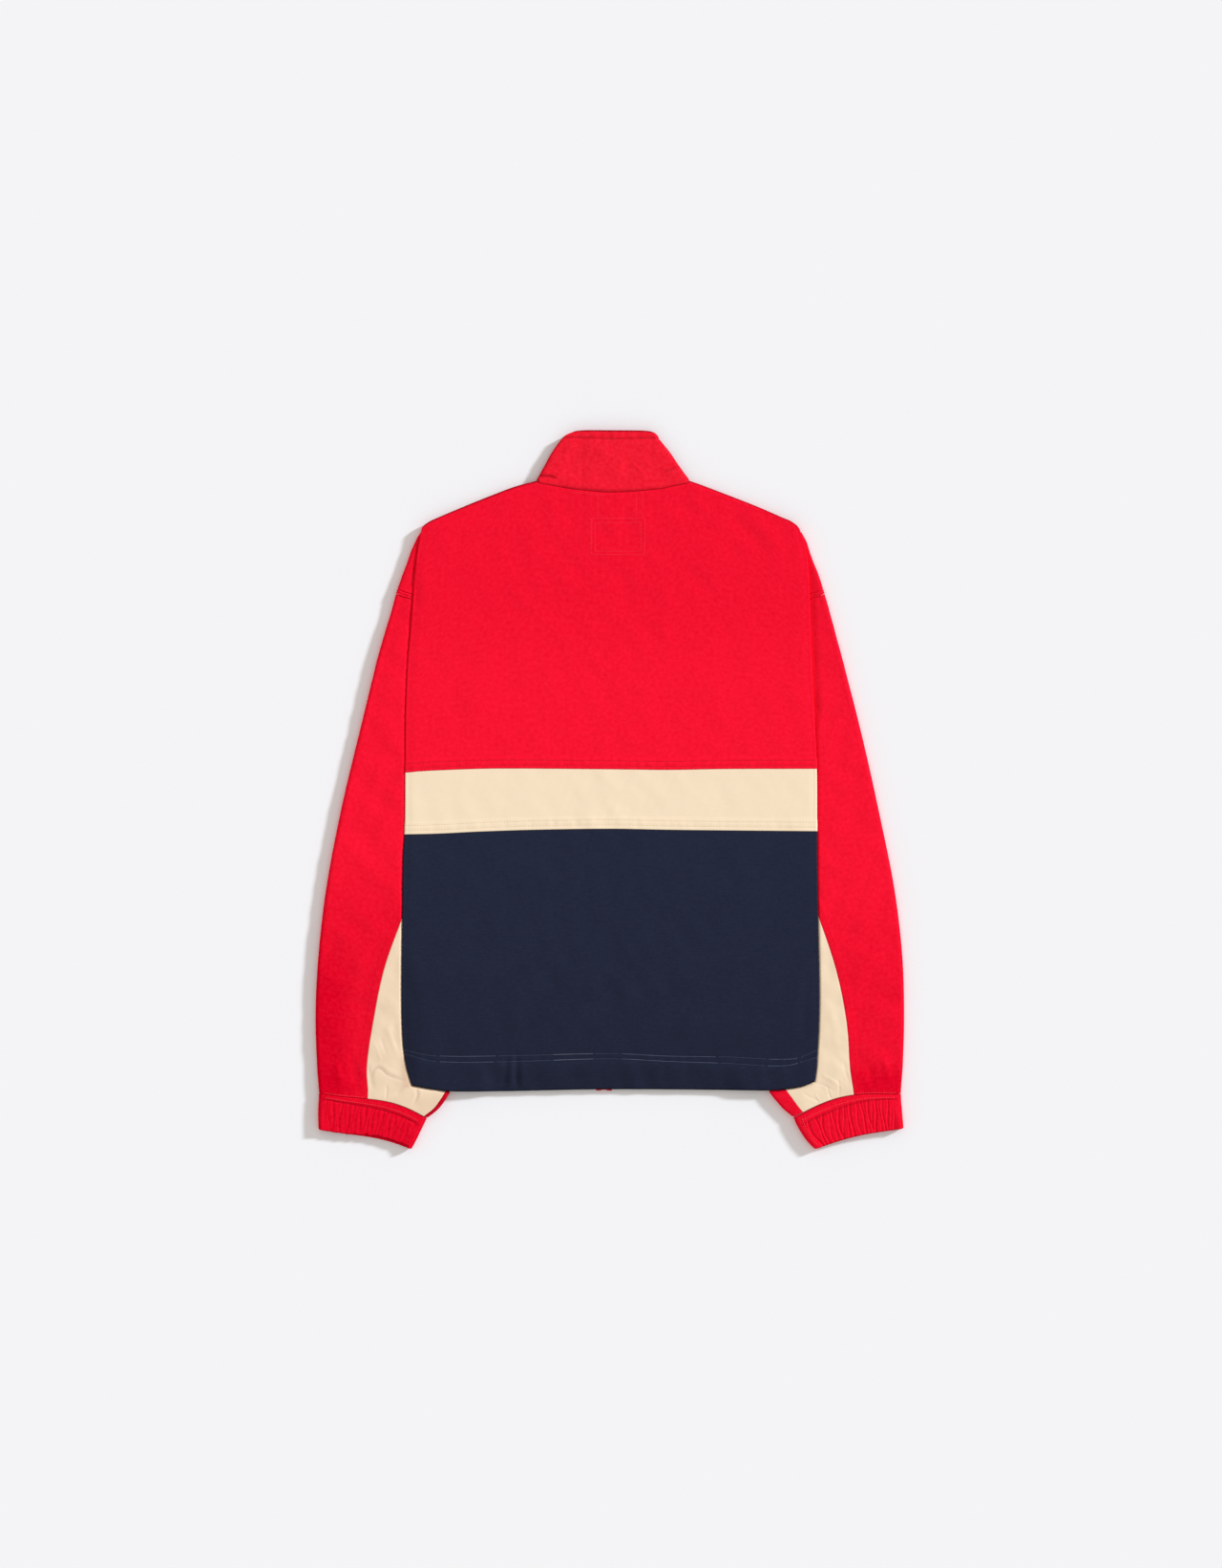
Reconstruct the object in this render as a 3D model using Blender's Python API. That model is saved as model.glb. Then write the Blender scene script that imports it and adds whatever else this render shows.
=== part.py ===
"""Windbreaker laid flat on its front, with the back of the body up.

The two sleeves are folded down beside the body and run in under its side edges.
X points right and Y points to the collar, both as seen from above; Z is up.
All sizes below are millimetres. Every cloth piece is a wall lofted from rows of
points: the outer face is worked out from the sizes, and the inner face lies one
wall further in.
"""
import math
from collections import namedtuple

import bpy
import bmesh
from mathutils import Vector

for old in list(bpy.data.objects):
    bpy.data.objects.remove(old, do_unlink=True)

MM = 0.001

# ---------------------------------------------------------------- driving sizes
NECK_SEAM_DROP = 1.3   # the front necklines lie this far below the collar's curve
WALL = 2.0             # shell cloth and its lining together
CUFF_WALL = 2.5        # elastic casing
SEAM_GAP = 0.3         # between pieces that are sewn together
HIDDEN_SEAM_GAP = 0.7  # the same at the curved seams on the underside
LOFT = 7.8             # height of two layers that lie loosely on each other
PRESSED_BODY = 4.6     # the same where the body lies on a sleeve
PRESSED_SLEEVE = 4.5   # height of a sleeve under the body
BODY_ON_SLEEVE = 5.0   # height of the underside of the body over a sleeve
SUPPORT_CLEAR = 20.0   # the body stays level this far past a hidden sleeve
SUPPORT_RAMP = 40.0    # and then sinks to the floor over this width
SLEEVE_CLEAR = 12.0    # a sleeve stays pressed this far outside the body
SLEEVE_RAMP = 40.0     # and then rises to its full height over this width
SIDE_TUCK = 25.0       # back panel on the underside, up to the side seam
SHOULDER_TUCK = 15.0   # yoke on the underside, up to the forward shoulder seam
TIP_TUCK = 3.0         # both of these at the shoulder tip
TIP_CLEAR = 3.5        # the front stays this much further from its tucks there
CENTRE_FRONT = -6.6    # x of the zip
FRONT_OPENING = 5.2    # half the width left open for the zip's teeth
FRONT_NECK_Y = 267.0   # front neckline at the centre
COLLAR_FRONT_Y = 336.0 # top of the collar at the centre front
SLIDER_LIFT = 3.5      # the collar stands this much higher over the zip's pull
ARC_CELLS = 4          # cells round each folded edge

# ---------------------------------------------------------------- outline tables
Side = namedtuple("Side", "y left right")
BODY_SIDES = [
    Side(-326.8, -218.7, 225.5),
    Side(-306.8, -224.5, 228.1),
    Side(-287.8, -227.7, 229.5),
    Side(-266.7, -229.3, 230.7),
    Side(-224.5, -230.1, 231.5),
    Side(-140.1, -229.3, 230.0),
    Side(-76.8, -228.5, 228.9),
    Side(-45.2, -226.6, 228.9),
    Side(23.4, -226.1, 228.6),
    Side(81.4, -225.8, 226.0),
    Side(139.5, -223.4, 223.1),
    Side(182.7, -219.8, 221.5),
    Side(213.3, -217.6, 220.7),
    Side(239.7, -215.5, 219.7),
    Side(266.1, -212.4, 216.5),
    Side(291.5, -207.6, 209.4),
]

At = namedtuple("At", "x y")
HEM = [
    At(-218.7, -326.8), At(-209.7, -328.5), At(-197.1, -330.7),
    At(-178.1, -333.0), At(-125.3, -333.2), At(-83.1, -332.4),
    At(-17.7, -331.1), At(64.6, -331.1), At(159.5, -332.1),
    At(182.7, -332.0), At(207.0, -328.9), At(218.6, -325.8),
    At(226.0, -321.5),
]
BAND_LOW = [
    At(-226.6, -49.2), At(-188.6, -48.3), At(-146.4, -46.2), At(-83.1, -44.1),
    At(1.3, -43.0), At(64.6, -44.1), At(127.9, -44.8), At(229.1, -45.7),
]
BAND_HIGH = [
    At(-226.1, 19.2), At(-209.7, 20.8), At(-178.1, 22.4), At(-125.3, 23.9),
    At(1.3, 23.1), At(64.6, 22.4), At(127.9, 23.4), At(229.1, 23.6),
]
SHOULDER_LEFT = [
    At(-209.5, 287.0), At(-203.4, 294.6), At(-190.7, 300.9), At(-161.2, 313.5),
    At(-129.6, 326.2), At(-104.2, 335.7), At(-81.0, 342.0),
]
SHOULDER_RIGHT = [
    At(87.8, 342.0), At(106.8, 335.2), At(128.9, 326.7), At(162.7, 313.5),
    At(189.1, 301.9), At(204.9, 294.6), At(210.5, 287.0),
]
NECK = [
    At(-78.5, 338.8), At(-62.0, 335.9), At(-40.9, 332.2), At(1.3, 328.6),
    At(54.0, 332.3), At(70.9, 335.7), At(85.3, 338.8),
]

Cross = namedtuple("Cross", "out_x out_y in_x in_y seam_out seam_in bow")
SLEEVE_LEFT = [
    Cross(-235.1, 216.5, -49.4, 89.9, 0.62, 0.95, 0.0),
    Cross(-247.2, 176.4, -55.7, 58.2, 0.60, 0.95, 0.0),
    Cross(-259.3, 135.3, -65.2, 25.5, 0.58, 0.95, 0.0),
    Cross(-278.3, 58.2, -83.1, -26.2, 0.55, 0.95, 0.0),
    Cross(-297.8, -24.1, -103.2, -85.2, 0.51, 0.95, 0.0),
    Cross(-313.7, -108.5, -122.2, -150.7, 0.46, 0.95, 0.0),
    Cross(-322.3, -182.3, -142.2, -216.1, 0.398, 0.95, 0.0),
    Cross(-325.5, -245.6, -157.6, -272.0, 0.370, 0.965, 0.0),
    Cross(-324.2, -298.4, -171.4, -319.5, 0.351, 0.98, 1.5),
    Cross(-322.4, -324.7, -188.4, -349.0, 0.397, 0.985, 5.0),
    Cross(-321.6, -334.8, -201.9, -361.9, 0.440, 0.985, 7.5),
]
SLEEVE_RIGHT = [
    Cross(236.5, 216.5, 49.4, 89.9, 0.62, 0.90, 0.0),
    Cross(248.1, 176.4, 55.7, 58.2, 0.60, 0.90, 0.0),
    Cross(259.7, 135.3, 65.2, 25.5, 0.58, 0.90, 0.0),
    Cross(279.3, 58.2, 83.1, -26.2, 0.55, 0.90, 0.0),
    Cross(297.7, -24.1, 103.2, -85.2, 0.52, 0.90, 0.0),
    Cross(314.6, -108.5, 122.2, -150.7, 0.455, 0.90, 0.0),
    Cross(323.4, -182.3, 142.2, -216.1, 0.400, 0.90, 0.0),
    Cross(325.5, -245.6, 157.0, -272.0, 0.369, 0.90, 0.0),
    Cross(324.3, -298.4, 169.6, -319.5, 0.370, 0.90, 2.0),
    Cross(322.5, -324.7, 189.8, -349.0, 0.393, 0.905, 6.0),
    Cross(321.8, -335.3, 202.6, -361.0, 0.427, 0.93, 10.2),
]

Cuff = namedtuple("Cuff", "out_x out_y in_x in_y bow gather")
CUFF_LEFT = [
    Cuff(-321.7, -335.1, -202.3, -362.3, 7.4, 0.35),
    Cuff(-322.1, -343.5, -206.0, -370.5, 7.0, 0.75),
    Cuff(-322.6, -352.5, -210.0, -378.5, 5.8, 1.00),
    Cuff(-322.6, -364.0, -214.5, -388.0, 4.4, 0.85),
    Cuff(-322.3, -375.4, -219.4, -397.0, 3.4, 0.55),
]
CUFF_RIGHT = [
    Cuff(321.9, -335.7, 203.0, -361.4, 10.1, 0.35),
    Cuff(322.2, -343.5, 206.5, -370.0, 9.0, 0.80),
    Cuff(323.0, -352.5, 211.3, -378.5, 7.0, 1.00),
    Cuff(323.9, -363.5, 217.8, -388.0, 4.6, 0.85),
    Cuff(324.9, -374.1, 226.4, -397.0, 3.2, 0.55),
]
LEFT_SKEW = 1.6        # the bow of a cuff's seam lies off its middle, more on the left
RIGHT_SKEW = 1.1
CUFF_HEIGHT = 8.4
GATHERS = 13           # folds of elasticated cloth across the top of a cuff
GATHER_DEPTH = 1.5

Drop = namedtuple("Drop", "out_x out_y in_x in_y")
DROP_LEFT = [
    Drop(-235.0, 216.8, -49.3, 90.2),
    Drop(-229.5, 236.0, -84.0, 134.0),
    Drop(-224.8, 249.5, -118.0, 176.5),
    Drop(-220.2, 262.0, -148.0, 214.0),
    Drop(-215.0, 274.5, -172.0, 245.0),
    Drop(-210.0, 285.0, -189.0, 268.0),
]
DROP_RIGHT = [
    Drop(236.4, 216.8, 49.3, 90.2),
    Drop(231.5, 236.0, 84.0, 134.0),
    Drop(226.8, 249.5, 118.0, 176.5),
    Drop(221.6, 262.0, 148.0, 214.0),
    Drop(216.0, 274.5, 172.0, 245.0),
    Drop(211.0, 285.0, 189.0, 268.0),
]

HiddenEdge = namedtuple("HiddenEdge", "y left right")
HIDDEN_EDGES = [
    HiddenEdge(-362.2, -203.4, 204.9),
    HiddenEdge(-351.1, -191.8, 193.3),
    HiddenEdge(-319.5, -173.9, 174.3),
    HiddenEdge(-272.0, -159.1, 159.1),
    HiddenEdge(-216.1, -142.2, 142.2),
    HiddenEdge(-150.7, -122.2, 122.2),
    HiddenEdge(-85.2, -103.2, 103.2),
    HiddenEdge(-26.2, -83.1, 83.1),
    HiddenEdge(25.5, -65.2, 65.2),
    HiddenEdge(90.2, -49.4, 49.4),
    HiddenEdge(134.0, -84.0, 84.0),
    HiddenEdge(176.5, -118.0, 118.0),
    HiddenEdge(214.0, -148.0, 148.0),
    HiddenEdge(245.0, -172.0, 172.0),
    HiddenEdge(290.0, -206.0, 206.0),
]

CollarEdge = namedtuple("CollarEdge", "t left_x left_y right_x right_y")
COLLAR_EDGES = [
    CollarEdge(0.00, -81.0, 342.0, 87.8, 342.0),
    CollarEdge(0.28, -72.4, 357.6, 79.3, 354.0),
    CollarEdge(0.60, -62.4, 375.6, 66.2, 373.2),
    CollarEdge(0.86, -52.6, 388.6, 54.6, 388.0),
    CollarEdge(0.94, -48.0, 392.4, 52.6, 391.6),
    CollarEdge(1.00, -42.1, 395.0, 49.6, 394.6),
]

# distances above the hem, and fractions of the height of the yoke, of the rows
LOWER_ROWS = [0, 8, 22, 32, 52, 77, 103, 129, 155, 181, 207, 233, 260, 288]
LOWER_HEIGHT = 288.0
BAND_ROWS = 4
YOKE_ROWS = [0, 0.075, 0.15, 0.225, 0.30, 0.375, 0.45, 0.525, 0.60, 0.675,
             0.75, 0.825, 0.90, 0.965, 1.0]
SHOULDER_COLUMNS = [0, 0.08, 0.22, 0.37, 0.53, 0.69, 0.85]
NECK_COLUMNS = 9


# ---------------------------------------------------------------- small functions
def lerp(a, b, t):
    return a + (b - a) * t


def smooth(t):
    t = min(max(t, 0.0), 1.0)
    return t * t * (3.0 - 2.0 * t)


def through(keys, values, key):
    """A smooth curve through the given values, level outside their range."""
    if key <= keys[0]:
        return values[0]
    if key >= keys[-1]:
        return values[-1]
    i = 0
    while keys[i + 1] < key:
        i += 1
    slopes = []
    for k in (i, i + 1):
        a = max(k - 1, 0)
        b = min(k + 1, len(keys) - 1)
        slopes.append((values[b] - values[a]) / (keys[b] - keys[a]))
    span = keys[i + 1] - keys[i]
    t = (key - keys[i]) / span
    t2 = t * t
    t3 = t2 * t
    return ((2 * t3 - 3 * t2 + 1) * values[i]
            + (t3 - 2 * t2 + t) * span * slopes[0]
            + (-2 * t3 + 3 * t2) * values[i + 1]
            + (t3 - t2) * span * slopes[1])


def along(table, name, position):
    """A column of a table of sections, at a position counted in rows."""
    keys = list(range(len(table)))
    return through(keys, [getattr(row, name) for row in table], position)


def curve_y(points, x):
    return through([p.x for p in points], [p.y for p in points], x)


def side_x(side, y):
    return through([r.y for r in BODY_SIDES], [getattr(r, side) for r in BODY_SIDES], y)


def hidden_x(side, y):
    keys = [r.y for r in HIDDEN_EDGES]
    values = [getattr(r, side) for r in HIDDEN_EDGES]
    return through(keys, values, y)


# ---------------------------------------------------------------- heights
def over_sleeves(x, y):
    """1 where a sleeve carries the body, 0 where the body lies on the floor."""
    reach = SUPPORT_CLEAR + SUPPORT_RAMP
    left = smooth((hidden_x("left", y) + reach - x) / SUPPORT_RAMP)
    right = smooth((x - hidden_x("right", y) + reach) / SUPPORT_RAMP)
    return 1.0 - (1.0 - left) * (1.0 - right)


def slider_bump(x, y):
    across = 1.0 - smooth((abs(x - CENTRE_FRONT) - 14.0) / 40.0)
    upwards = smooth((y - 252.0) / 44.0)
    return SLIDER_LIFT * across * upwards


def under_body(x, y):
    """Height of the underside of the body."""
    return BODY_ON_SLEEVE * over_sleeves(x, y) + slider_bump(x, y)


def body_height(x, y):
    """Height from the underside of the body to its top."""
    return lerp(LOFT, PRESSED_BODY, over_sleeves(x, y))


def body_top(x, y):
    return under_body(x, y) + body_height(x, y)


def outside_body(x, y):
    """Distance of a point outside the plan of the body, negative inside."""
    beside = max(side_x("left", y) - x, x - side_x("right", y))
    below = curve_y(HEM, x) - y
    if beside > 0 and below > 0:
        return math.hypot(beside, below)
    return max(beside, below)


def sleeve_height(x, y):
    rise = smooth((outside_body(x, y) - SLEEVE_CLEAR) / SLEEVE_RAMP)
    return lerp(PRESSED_SLEEVE, LOFT, rise)


# ---------------------------------------------------------------- mesh building
collection = bpy.data.collections.new("windbreaker")
bpy.context.scene.collection.children.link(collection)
root = bpy.data.objects.new("windbreaker", None)
root.empty_display_size = 0.1
collection.objects.link(root)

RED = (0.83, 0.010, 0.032)
CREAM = (0.86, 0.69, 0.50)
NAVY = (0.016, 0.020, 0.040)
METAL = (0.10, 0.10, 0.11)


def make_material(name, colour, roughness, metallic=0.0):
    material = bpy.data.materials.new(name)
    material.use_nodes = True
    shader = material.node_tree.nodes["Principled BSDF"]
    shader.inputs["Base Color"].default_value = (*colour, 1.0)
    shader.inputs["Roughness"].default_value = roughness
    shader.inputs["Metallic"].default_value = metallic
    return material


def finish_mesh(name, bm, colour, roughness=0.75, metallic=0.0, round_faces=True):
    """Turn a bmesh in millimetres into a named object in metres."""
    bmesh.ops.recalc_face_normals(bm, faces=bm.faces)
    for vert in bm.verts:
        vert.co = vert.co * MM
    for face in bm.faces:
        face.smooth = round_faces
    mesh = bpy.data.meshes.new(name)
    bm.to_mesh(mesh)
    bm.free()
    mesh.materials.append(make_material(name, colour, roughness, metallic))
    item = bpy.data.objects.new(name, mesh)
    item.parent = root
    collection.objects.link(item)
    return item


def shell(name, outer, inner, cells, colour, roughness=0.75):
    """A closed wall: outer and inner are points by key, cells are rings of keys."""
    bm = bmesh.new()
    keys = sorted({key for cell in cells for key in cell}, key=str)
    out_verts = {key: bm.verts.new(outer[key]) for key in keys}
    in_verts = {key: bm.verts.new(inner[key]) for key in keys}
    used = {}
    for cell in cells:
        bm.faces.new([out_verts[key] for key in cell])
        bm.faces.new([in_verts[key] for key in reversed(cell)])
        for a, b in zip(cell, cell[1:] + cell[:1]):
            used[(a, b)] = True
    for a, b in list(used):
        if (b, a) not in used:
            bm.faces.new([out_verts[b], out_verts[a], in_verts[a], in_verts[b]])
    return finish_mesh(name, bm, colour, roughness)


def grid_cells(rows, columns, closed=False):
    cells = []
    last = columns if closed else columns - 1
    for j in range(rows - 1):
        for i in range(last):
            k = (i + 1) % columns
            cells.append([(i, j), (k, j), (k, j + 1), (i, j + 1)])
    return cells


def grid_shell(name, outer_rows, inner_rows, colour, closed=False):
    outer = {}
    inner = {}
    for j, (out_row, in_row) in enumerate(zip(outer_rows, inner_rows)):
        for i, (a, b) in enumerate(zip(out_row, in_row)):
            outer[(i, j)] = a
            inner[(i, j)] = b
    cells = grid_cells(len(outer_rows), len(outer_rows[0]), closed)
    return shell(name, outer, inner, cells, colour)


def fold_round(base, direction, extent, tuck, step, wall, inner):
    """A point of cloth that folds round an edge and runs back underneath.

    base is where the fold starts, direction points outwards in plan, and step
    counts 1 to ARC_CELLS round the fold and then 2 more along the tuck.
    """
    top = body_top(base.x, base.y)
    bottom = under_body(base.x, base.y)
    middle = (top + bottom) / 2
    radius = (top - bottom) / 2
    if inner:
        extent -= wall
        radius -= wall
    if step <= ARC_CELLS:
        angle = math.pi * step / ARC_CELLS
        place = base + direction * (extent * math.sin(angle))
        return Vector((place.x, place.y, middle + radius * math.cos(angle)))
    place = base - direction * (tuck * (step - ARC_CELLS) / 2)
    height = under_body(place.x, place.y) + (wall if inner else 0.0)
    return Vector((place.x, place.y, height))


# ---------------------------------------------------------------- plan of the body
def shoulder_y(x, left):
    points = SHOULDER_LEFT if left else SHOULDER_RIGHT
    if left and x > points[-1].x:
        return points[-1].y + 0.33 * (x - points[-1].x)
    if not left and x < points[0].x:
        return points[0].y - 0.37 * (x - points[0].x)
    return curve_y(points, x)


def shoulder_normal(x, left):
    slope = (shoulder_y(x + 8, left) - shoulder_y(x - 8, left)) / 16
    return Vector((-slope, 1.0)).normalized()


def neck_fold(left):
    """Direction of the fold that the yoke and the collar share at the neck."""
    if left:
        return Vector((-0.62, 0.78)).normalized()
    return Vector((0.62, 0.78)).normalized()


def top_row_y(x):
    """Top row of the back yoke: inside the shoulder folds, and along the neck."""
    if x <= NECK[0].x or x >= NECK[-1].x:
        left = x < 0
        normal = shoulder_normal(x, left)
        return shoulder_y(x, left) - body_height(x, shoulder_y(x, left)) / 2 / normal.y
    return curve_y(NECK, x)


def side_tuck(y):
    return lerp(SIDE_TUCK, TIP_TUCK, smooth((y - 150.0) / 125.0))


def shoulder_tuck(x):
    tip = min(abs(x - BODY_SIDES[-1].left), abs(x - BODY_SIDES[-1].right))
    return lerp(TIP_TUCK, SHOULDER_TUCK, smooth(tip / 70.0))


def hem_y(x):
    return curve_y(HEM, x)


def band_low_y(x):
    return curve_y(BAND_LOW, x)


def band_high_y(x):
    return curve_y(BAND_HIGH, x)


def panel_rows(low, high, fractions):
    """Rows of a panel, with half a seam gap at each seam."""
    rows = []
    for t in fractions:
        shift = 0.0
        if t == 0 and low is not hem_y:
            shift = SEAM_GAP / 2
        if t == 1:
            shift = -SEAM_GAP / 2
        rows.append((low, high, t, shift))
    return rows


def row_y(row, x):
    low, high, t, shift = row
    return lerp(low(x), high(x), t) + shift


def row_end(row, side, inset):
    """Where a row meets the side of the body, inset from it."""
    x = side_x(side, 0.0)
    sign = 1.0 if side == "left" else -1.0
    for step in range(6):
        gap = inset(row_y(row, x)) if callable(inset) else inset
        x = side_x(side, row_y(row, x)) + sign * gap
    return x


def body_columns():
    row = (band_high_y, top_row_y, 1.0, 0.0)
    left = row_end(row, "left", PRESSED_BODY / 2)
    right = row_end(row, "right", PRESSED_BODY / 2)
    neck_left = (NECK[0].x - left) / (right - left)
    neck_right = (NECK[-1].x - left) / (right - left)
    columns = [neck_left * f for f in SHOULDER_COLUMNS]
    for i in range(NECK_COLUMNS + 1):
        columns.append(lerp(neck_left, neck_right, i / NECK_COLUMNS))
    for f in reversed(SHOULDER_COLUMNS):
        columns.append(1.0 - (1.0 - neck_right) * f)
    return columns


COLUMNS = body_columns()
NECK_FIRST = len(SHOULDER_COLUMNS)
NECK_LAST = NECK_FIRST + NECK_COLUMNS


# ---------------------------------------------------------------- back panels
def back_panel(name, rows, colour, has_shoulders):
    outer = {}
    inner = {}
    cells = []
    last = len(COLUMNS) - 1
    steps = ARC_CELLS + 2
    for j, row in enumerate(rows):
        top = has_shoulders and j == len(rows) - 1
        left = row_end(row, "left", PRESSED_BODY / 2)
        right = row_end(row, "right", PRESSED_BODY / 2)
        for i, u in enumerate(COLUMNS):
            x = lerp(left, right, u)
            if top and i in (NECK_FIRST, NECK_LAST):
                x = NECK[0].x if i == NECK_FIRST else NECK[-1].x
            y = row_y(row, x)
            outer[(i, j)] = Vector((x, y, body_top(x, y)))
            inner[(i, j)] = Vector((x, y, body_top(x, y) - WALL))
        for side, i in (("left", 0), ("right", last)):
            base = outer[(i, j)].xy
            direction = Vector((-1.0 if side == "left" else 1.0, 0.0))
            extent = PRESSED_BODY / 2
            tuck = side_tuck(base.y)
            if top:
                normal = shoulder_normal(base.x, side == "left")
                direction = (direction + normal).normalized()
                extent = PRESSED_BODY / 2 * 1.12
            for step in range(1, steps + 1):
                key = (side, step, j)
                outer[key] = fold_round(base, direction, extent, tuck, step, WALL, False)
                inner[key] = fold_round(base, direction, extent, tuck, step, WALL, True)
    for j in range(len(rows) - 1):
        for i in range(last):
            cells.append([(i, j), (i + 1, j), (i + 1, j + 1), (i, j + 1)])
        for step in range(steps):
            a = (0, j) if step == 0 else ("left", step, j)
            b = (0, j + 1) if step == 0 else ("left", step, j + 1)
            c = ("left", step + 1, j)
            d = ("left", step + 1, j + 1)
            cells.append([c, a, b, d])
            a = (last, j) if step == 0 else ("right", step, j)
            b = (last, j + 1) if step == 0 else ("right", step, j + 1)
            c = ("right", step + 1, j)
            d = ("right", step + 1, j + 1)
            cells.append([a, c, d, b])
    if has_shoulders:
        add_shoulder_folds(outer, inner, cells, len(rows) - 1)
    return shell(name, outer, inner, cells, colour)


def add_shoulder_folds(outer, inner, cells, j):
    last = len(COLUMNS) - 1
    steps = ARC_CELLS + 2
    for i in list(range(1, NECK_FIRST + 1)) + list(range(NECK_LAST, last)):
        left = i <= NECK_FIRST
        base = outer[(i, j)].xy
        direction = shoulder_normal(base.x, left)
        extent = body_height(base.x, base.y) / 2
        tuck = shoulder_tuck(base.x)
        if i in (NECK_FIRST, NECK_LAST):
            direction = neck_fold(left)
            extent *= 1.04
        for step in range(1, steps + 1):
            key = ("top", step, i)
            outer[key] = fold_round(base, direction, extent, tuck, step, WALL, False)
            inner[key] = fold_round(base, direction, extent, tuck, step, WALL, True)

    def key_at(i, step):
        if step == 0:
            return (i, j)
        if i == 0:
            return ("left", step, j)
        if i == last:
            return ("right", step, j)
        return ("top", step, i)

    for i in list(range(0, NECK_FIRST)) + list(range(NECK_LAST, last)):
        for step in range(steps):
            cells.append([key_at(i, step), key_at(i + 1, step),
                          key_at(i + 1, step + 1), key_at(i, step + 1)])


def fractions_of(count):
    return [i / count for i in range(count + 1)]


lower_rows = panel_rows(hem_y, band_low_y, [d / LOWER_HEIGHT for d in LOWER_ROWS])
band_rows = panel_rows(band_low_y, band_high_y, fractions_of(BAND_ROWS))
yoke_rows = panel_rows(band_high_y, top_row_y, YOKE_ROWS)
back_panel("back_lower", lower_rows, NAVY, False)
back_panel("back_band", band_rows, CREAM, False)
back_panel("back_yoke", yoke_rows, RED, True)


# ---------------------------------------------------------------- neckline curves
def bend(a, b, c, t):
    """A quadratic curve from a to c, steered by b."""
    return a * (1 - t) ** 2 + b * (2 * t * (1 - t)) + c * t ** 2


def front_edge_x(left):
    return CENTRE_FRONT + (-FRONT_OPENING if left else FRONT_OPENING)


def neck_start(left):
    return Vector((NECK[0].x, NECK[0].y)) if left else Vector((NECK[-1].x, NECK[-1].y))


def front_neck_point(left, t):
    """Front neckline, from the neck fold down to the centre front."""
    start = neck_start(left)
    end = Vector((front_edge_x(left), FRONT_NECK_Y))
    fold = neck_fold(left)
    reach = (start.y - end.y) / fold.y * 0.93
    return bend(start, start - fold * reach, end, t)


def front_neck_y(x, left):
    low = 0.0
    high = 1.0
    for step in range(30):
        t = (low + high) / 2
        before = front_neck_point(left, t).x < x
        if before == left:
            low = t
        else:
            high = t
    return front_neck_point(left, low).y


def front_top_y(x):
    """Top of a front panel: the forward shoulder seam, then the neckline."""
    left = x < CENTRE_FRONT
    normal = shoulder_normal(x, left)
    height = body_height(x, shoulder_y(x, left)) / 2
    inset = height + shoulder_tuck(x) + HIDDEN_SEAM_GAP
    seam = shoulder_y(x, left) - inset / normal.y
    start = neck_start(left)
    past = (x > start.x) if left else (x < start.x)
    if past:
        return min(seam, front_neck_y(x, left) - NECK_SEAM_DROP)
    return seam


def front_hem_y(x):
    return curve_y(HEM, x) + 0.6


# ---------------------------------------------------------------- front panels
FRONT_COLUMNS = [0, 0.10, 0.22, 0.34, 0.46, 0.58, 0.69]
FRONT_INNER = [30.0, 17.0, 8.0, 0.0]   # distances of the last columns from the edge


def front_panel(name, rows, colour, left):
    outer_rows = []
    inner_rows = []
    side = "left" if left else "right"
    edge = front_edge_x(left)
    sign = 1.0 if left else -1.0

    def inset(y):
        clear = HIDDEN_SEAM_GAP + TIP_CLEAR * smooth((y - 220.0) / 60.0)
        return PRESSED_BODY / 2 + side_tuck(y) + clear

    for row in rows:
        start = row_end(row, side, inset)
        xs = [lerp(start, edge, u) for u in FRONT_COLUMNS]
        third = edge - sign * FRONT_INNER[0]
        xs.append(lerp(xs[-1], third, 0.5))
        xs += [edge - sign * d for d in FRONT_INNER]
        outer = []
        inner = []
        for x in xs:
            y = row_y(row, x)
            bottom = under_body(x, y)
            outer.append(Vector((x, y, bottom)))
            inner.append(Vector((x, y, bottom + WALL)))
        outer_rows.append(outer)
        inner_rows.append(inner)
    grid_shell(name, outer_rows, inner_rows, colour)


def front_rows(low, high, fractions):
    rows = []
    for t in fractions:
        shift = 0.0
        if t == 0 and low is not front_hem_y:
            shift = SEAM_GAP / 2
        if t == 1 and high is not front_top_y:
            shift = -SEAM_GAP / 2
        rows.append((low, high, t, shift))
    return rows


front_lower = front_rows(front_hem_y, band_low_y, [d / LOWER_HEIGHT for d in LOWER_ROWS])
front_band = front_rows(band_low_y, band_high_y, fractions_of(BAND_ROWS))
front_yoke = front_rows(band_high_y, front_top_y, YOKE_ROWS)
for is_left in (True, False):
    end = "left" if is_left else "right"
    front_panel("front_lower_" + end, front_lower, NAVY, is_left)
    front_panel("front_band_" + end, front_band, CREAM, is_left)
    front_panel("front_yoke_" + end, front_yoke, RED, is_left)


# ---------------------------------------------------------------- collar
COLLAR_ROWS = [0.0, 0.28, 0.60, 0.86, 0.94, 1.0]
CORNER_TURN = math.radians(56)     # the fold turns along the top at the corners
COLLAR_FRONT_CELLS = 7
COLLAR_TOP = 395.9         # the top edge's height at its ends, and its rise between them
COLLAR_BULGE = 1.4


def collar_corner(left, t):
    keys = [row.t for row in COLLAR_EDGES]
    name = "left" if left else "right"
    x = through(keys, [getattr(row, name + "_x") for row in COLLAR_EDGES], t)
    y = through(keys, [getattr(row, name + "_y") for row in COLLAR_EDGES], t)
    return Vector((x, y))


def collar_lean(left, t):
    """Outward direction of the collar's side edge."""
    start = neck_fold(left)
    side = Vector((-0.82, 0.57)) if left else Vector((0.82, 0.57))
    return start.lerp(side, smooth(t / 0.3)).normalized()


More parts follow.
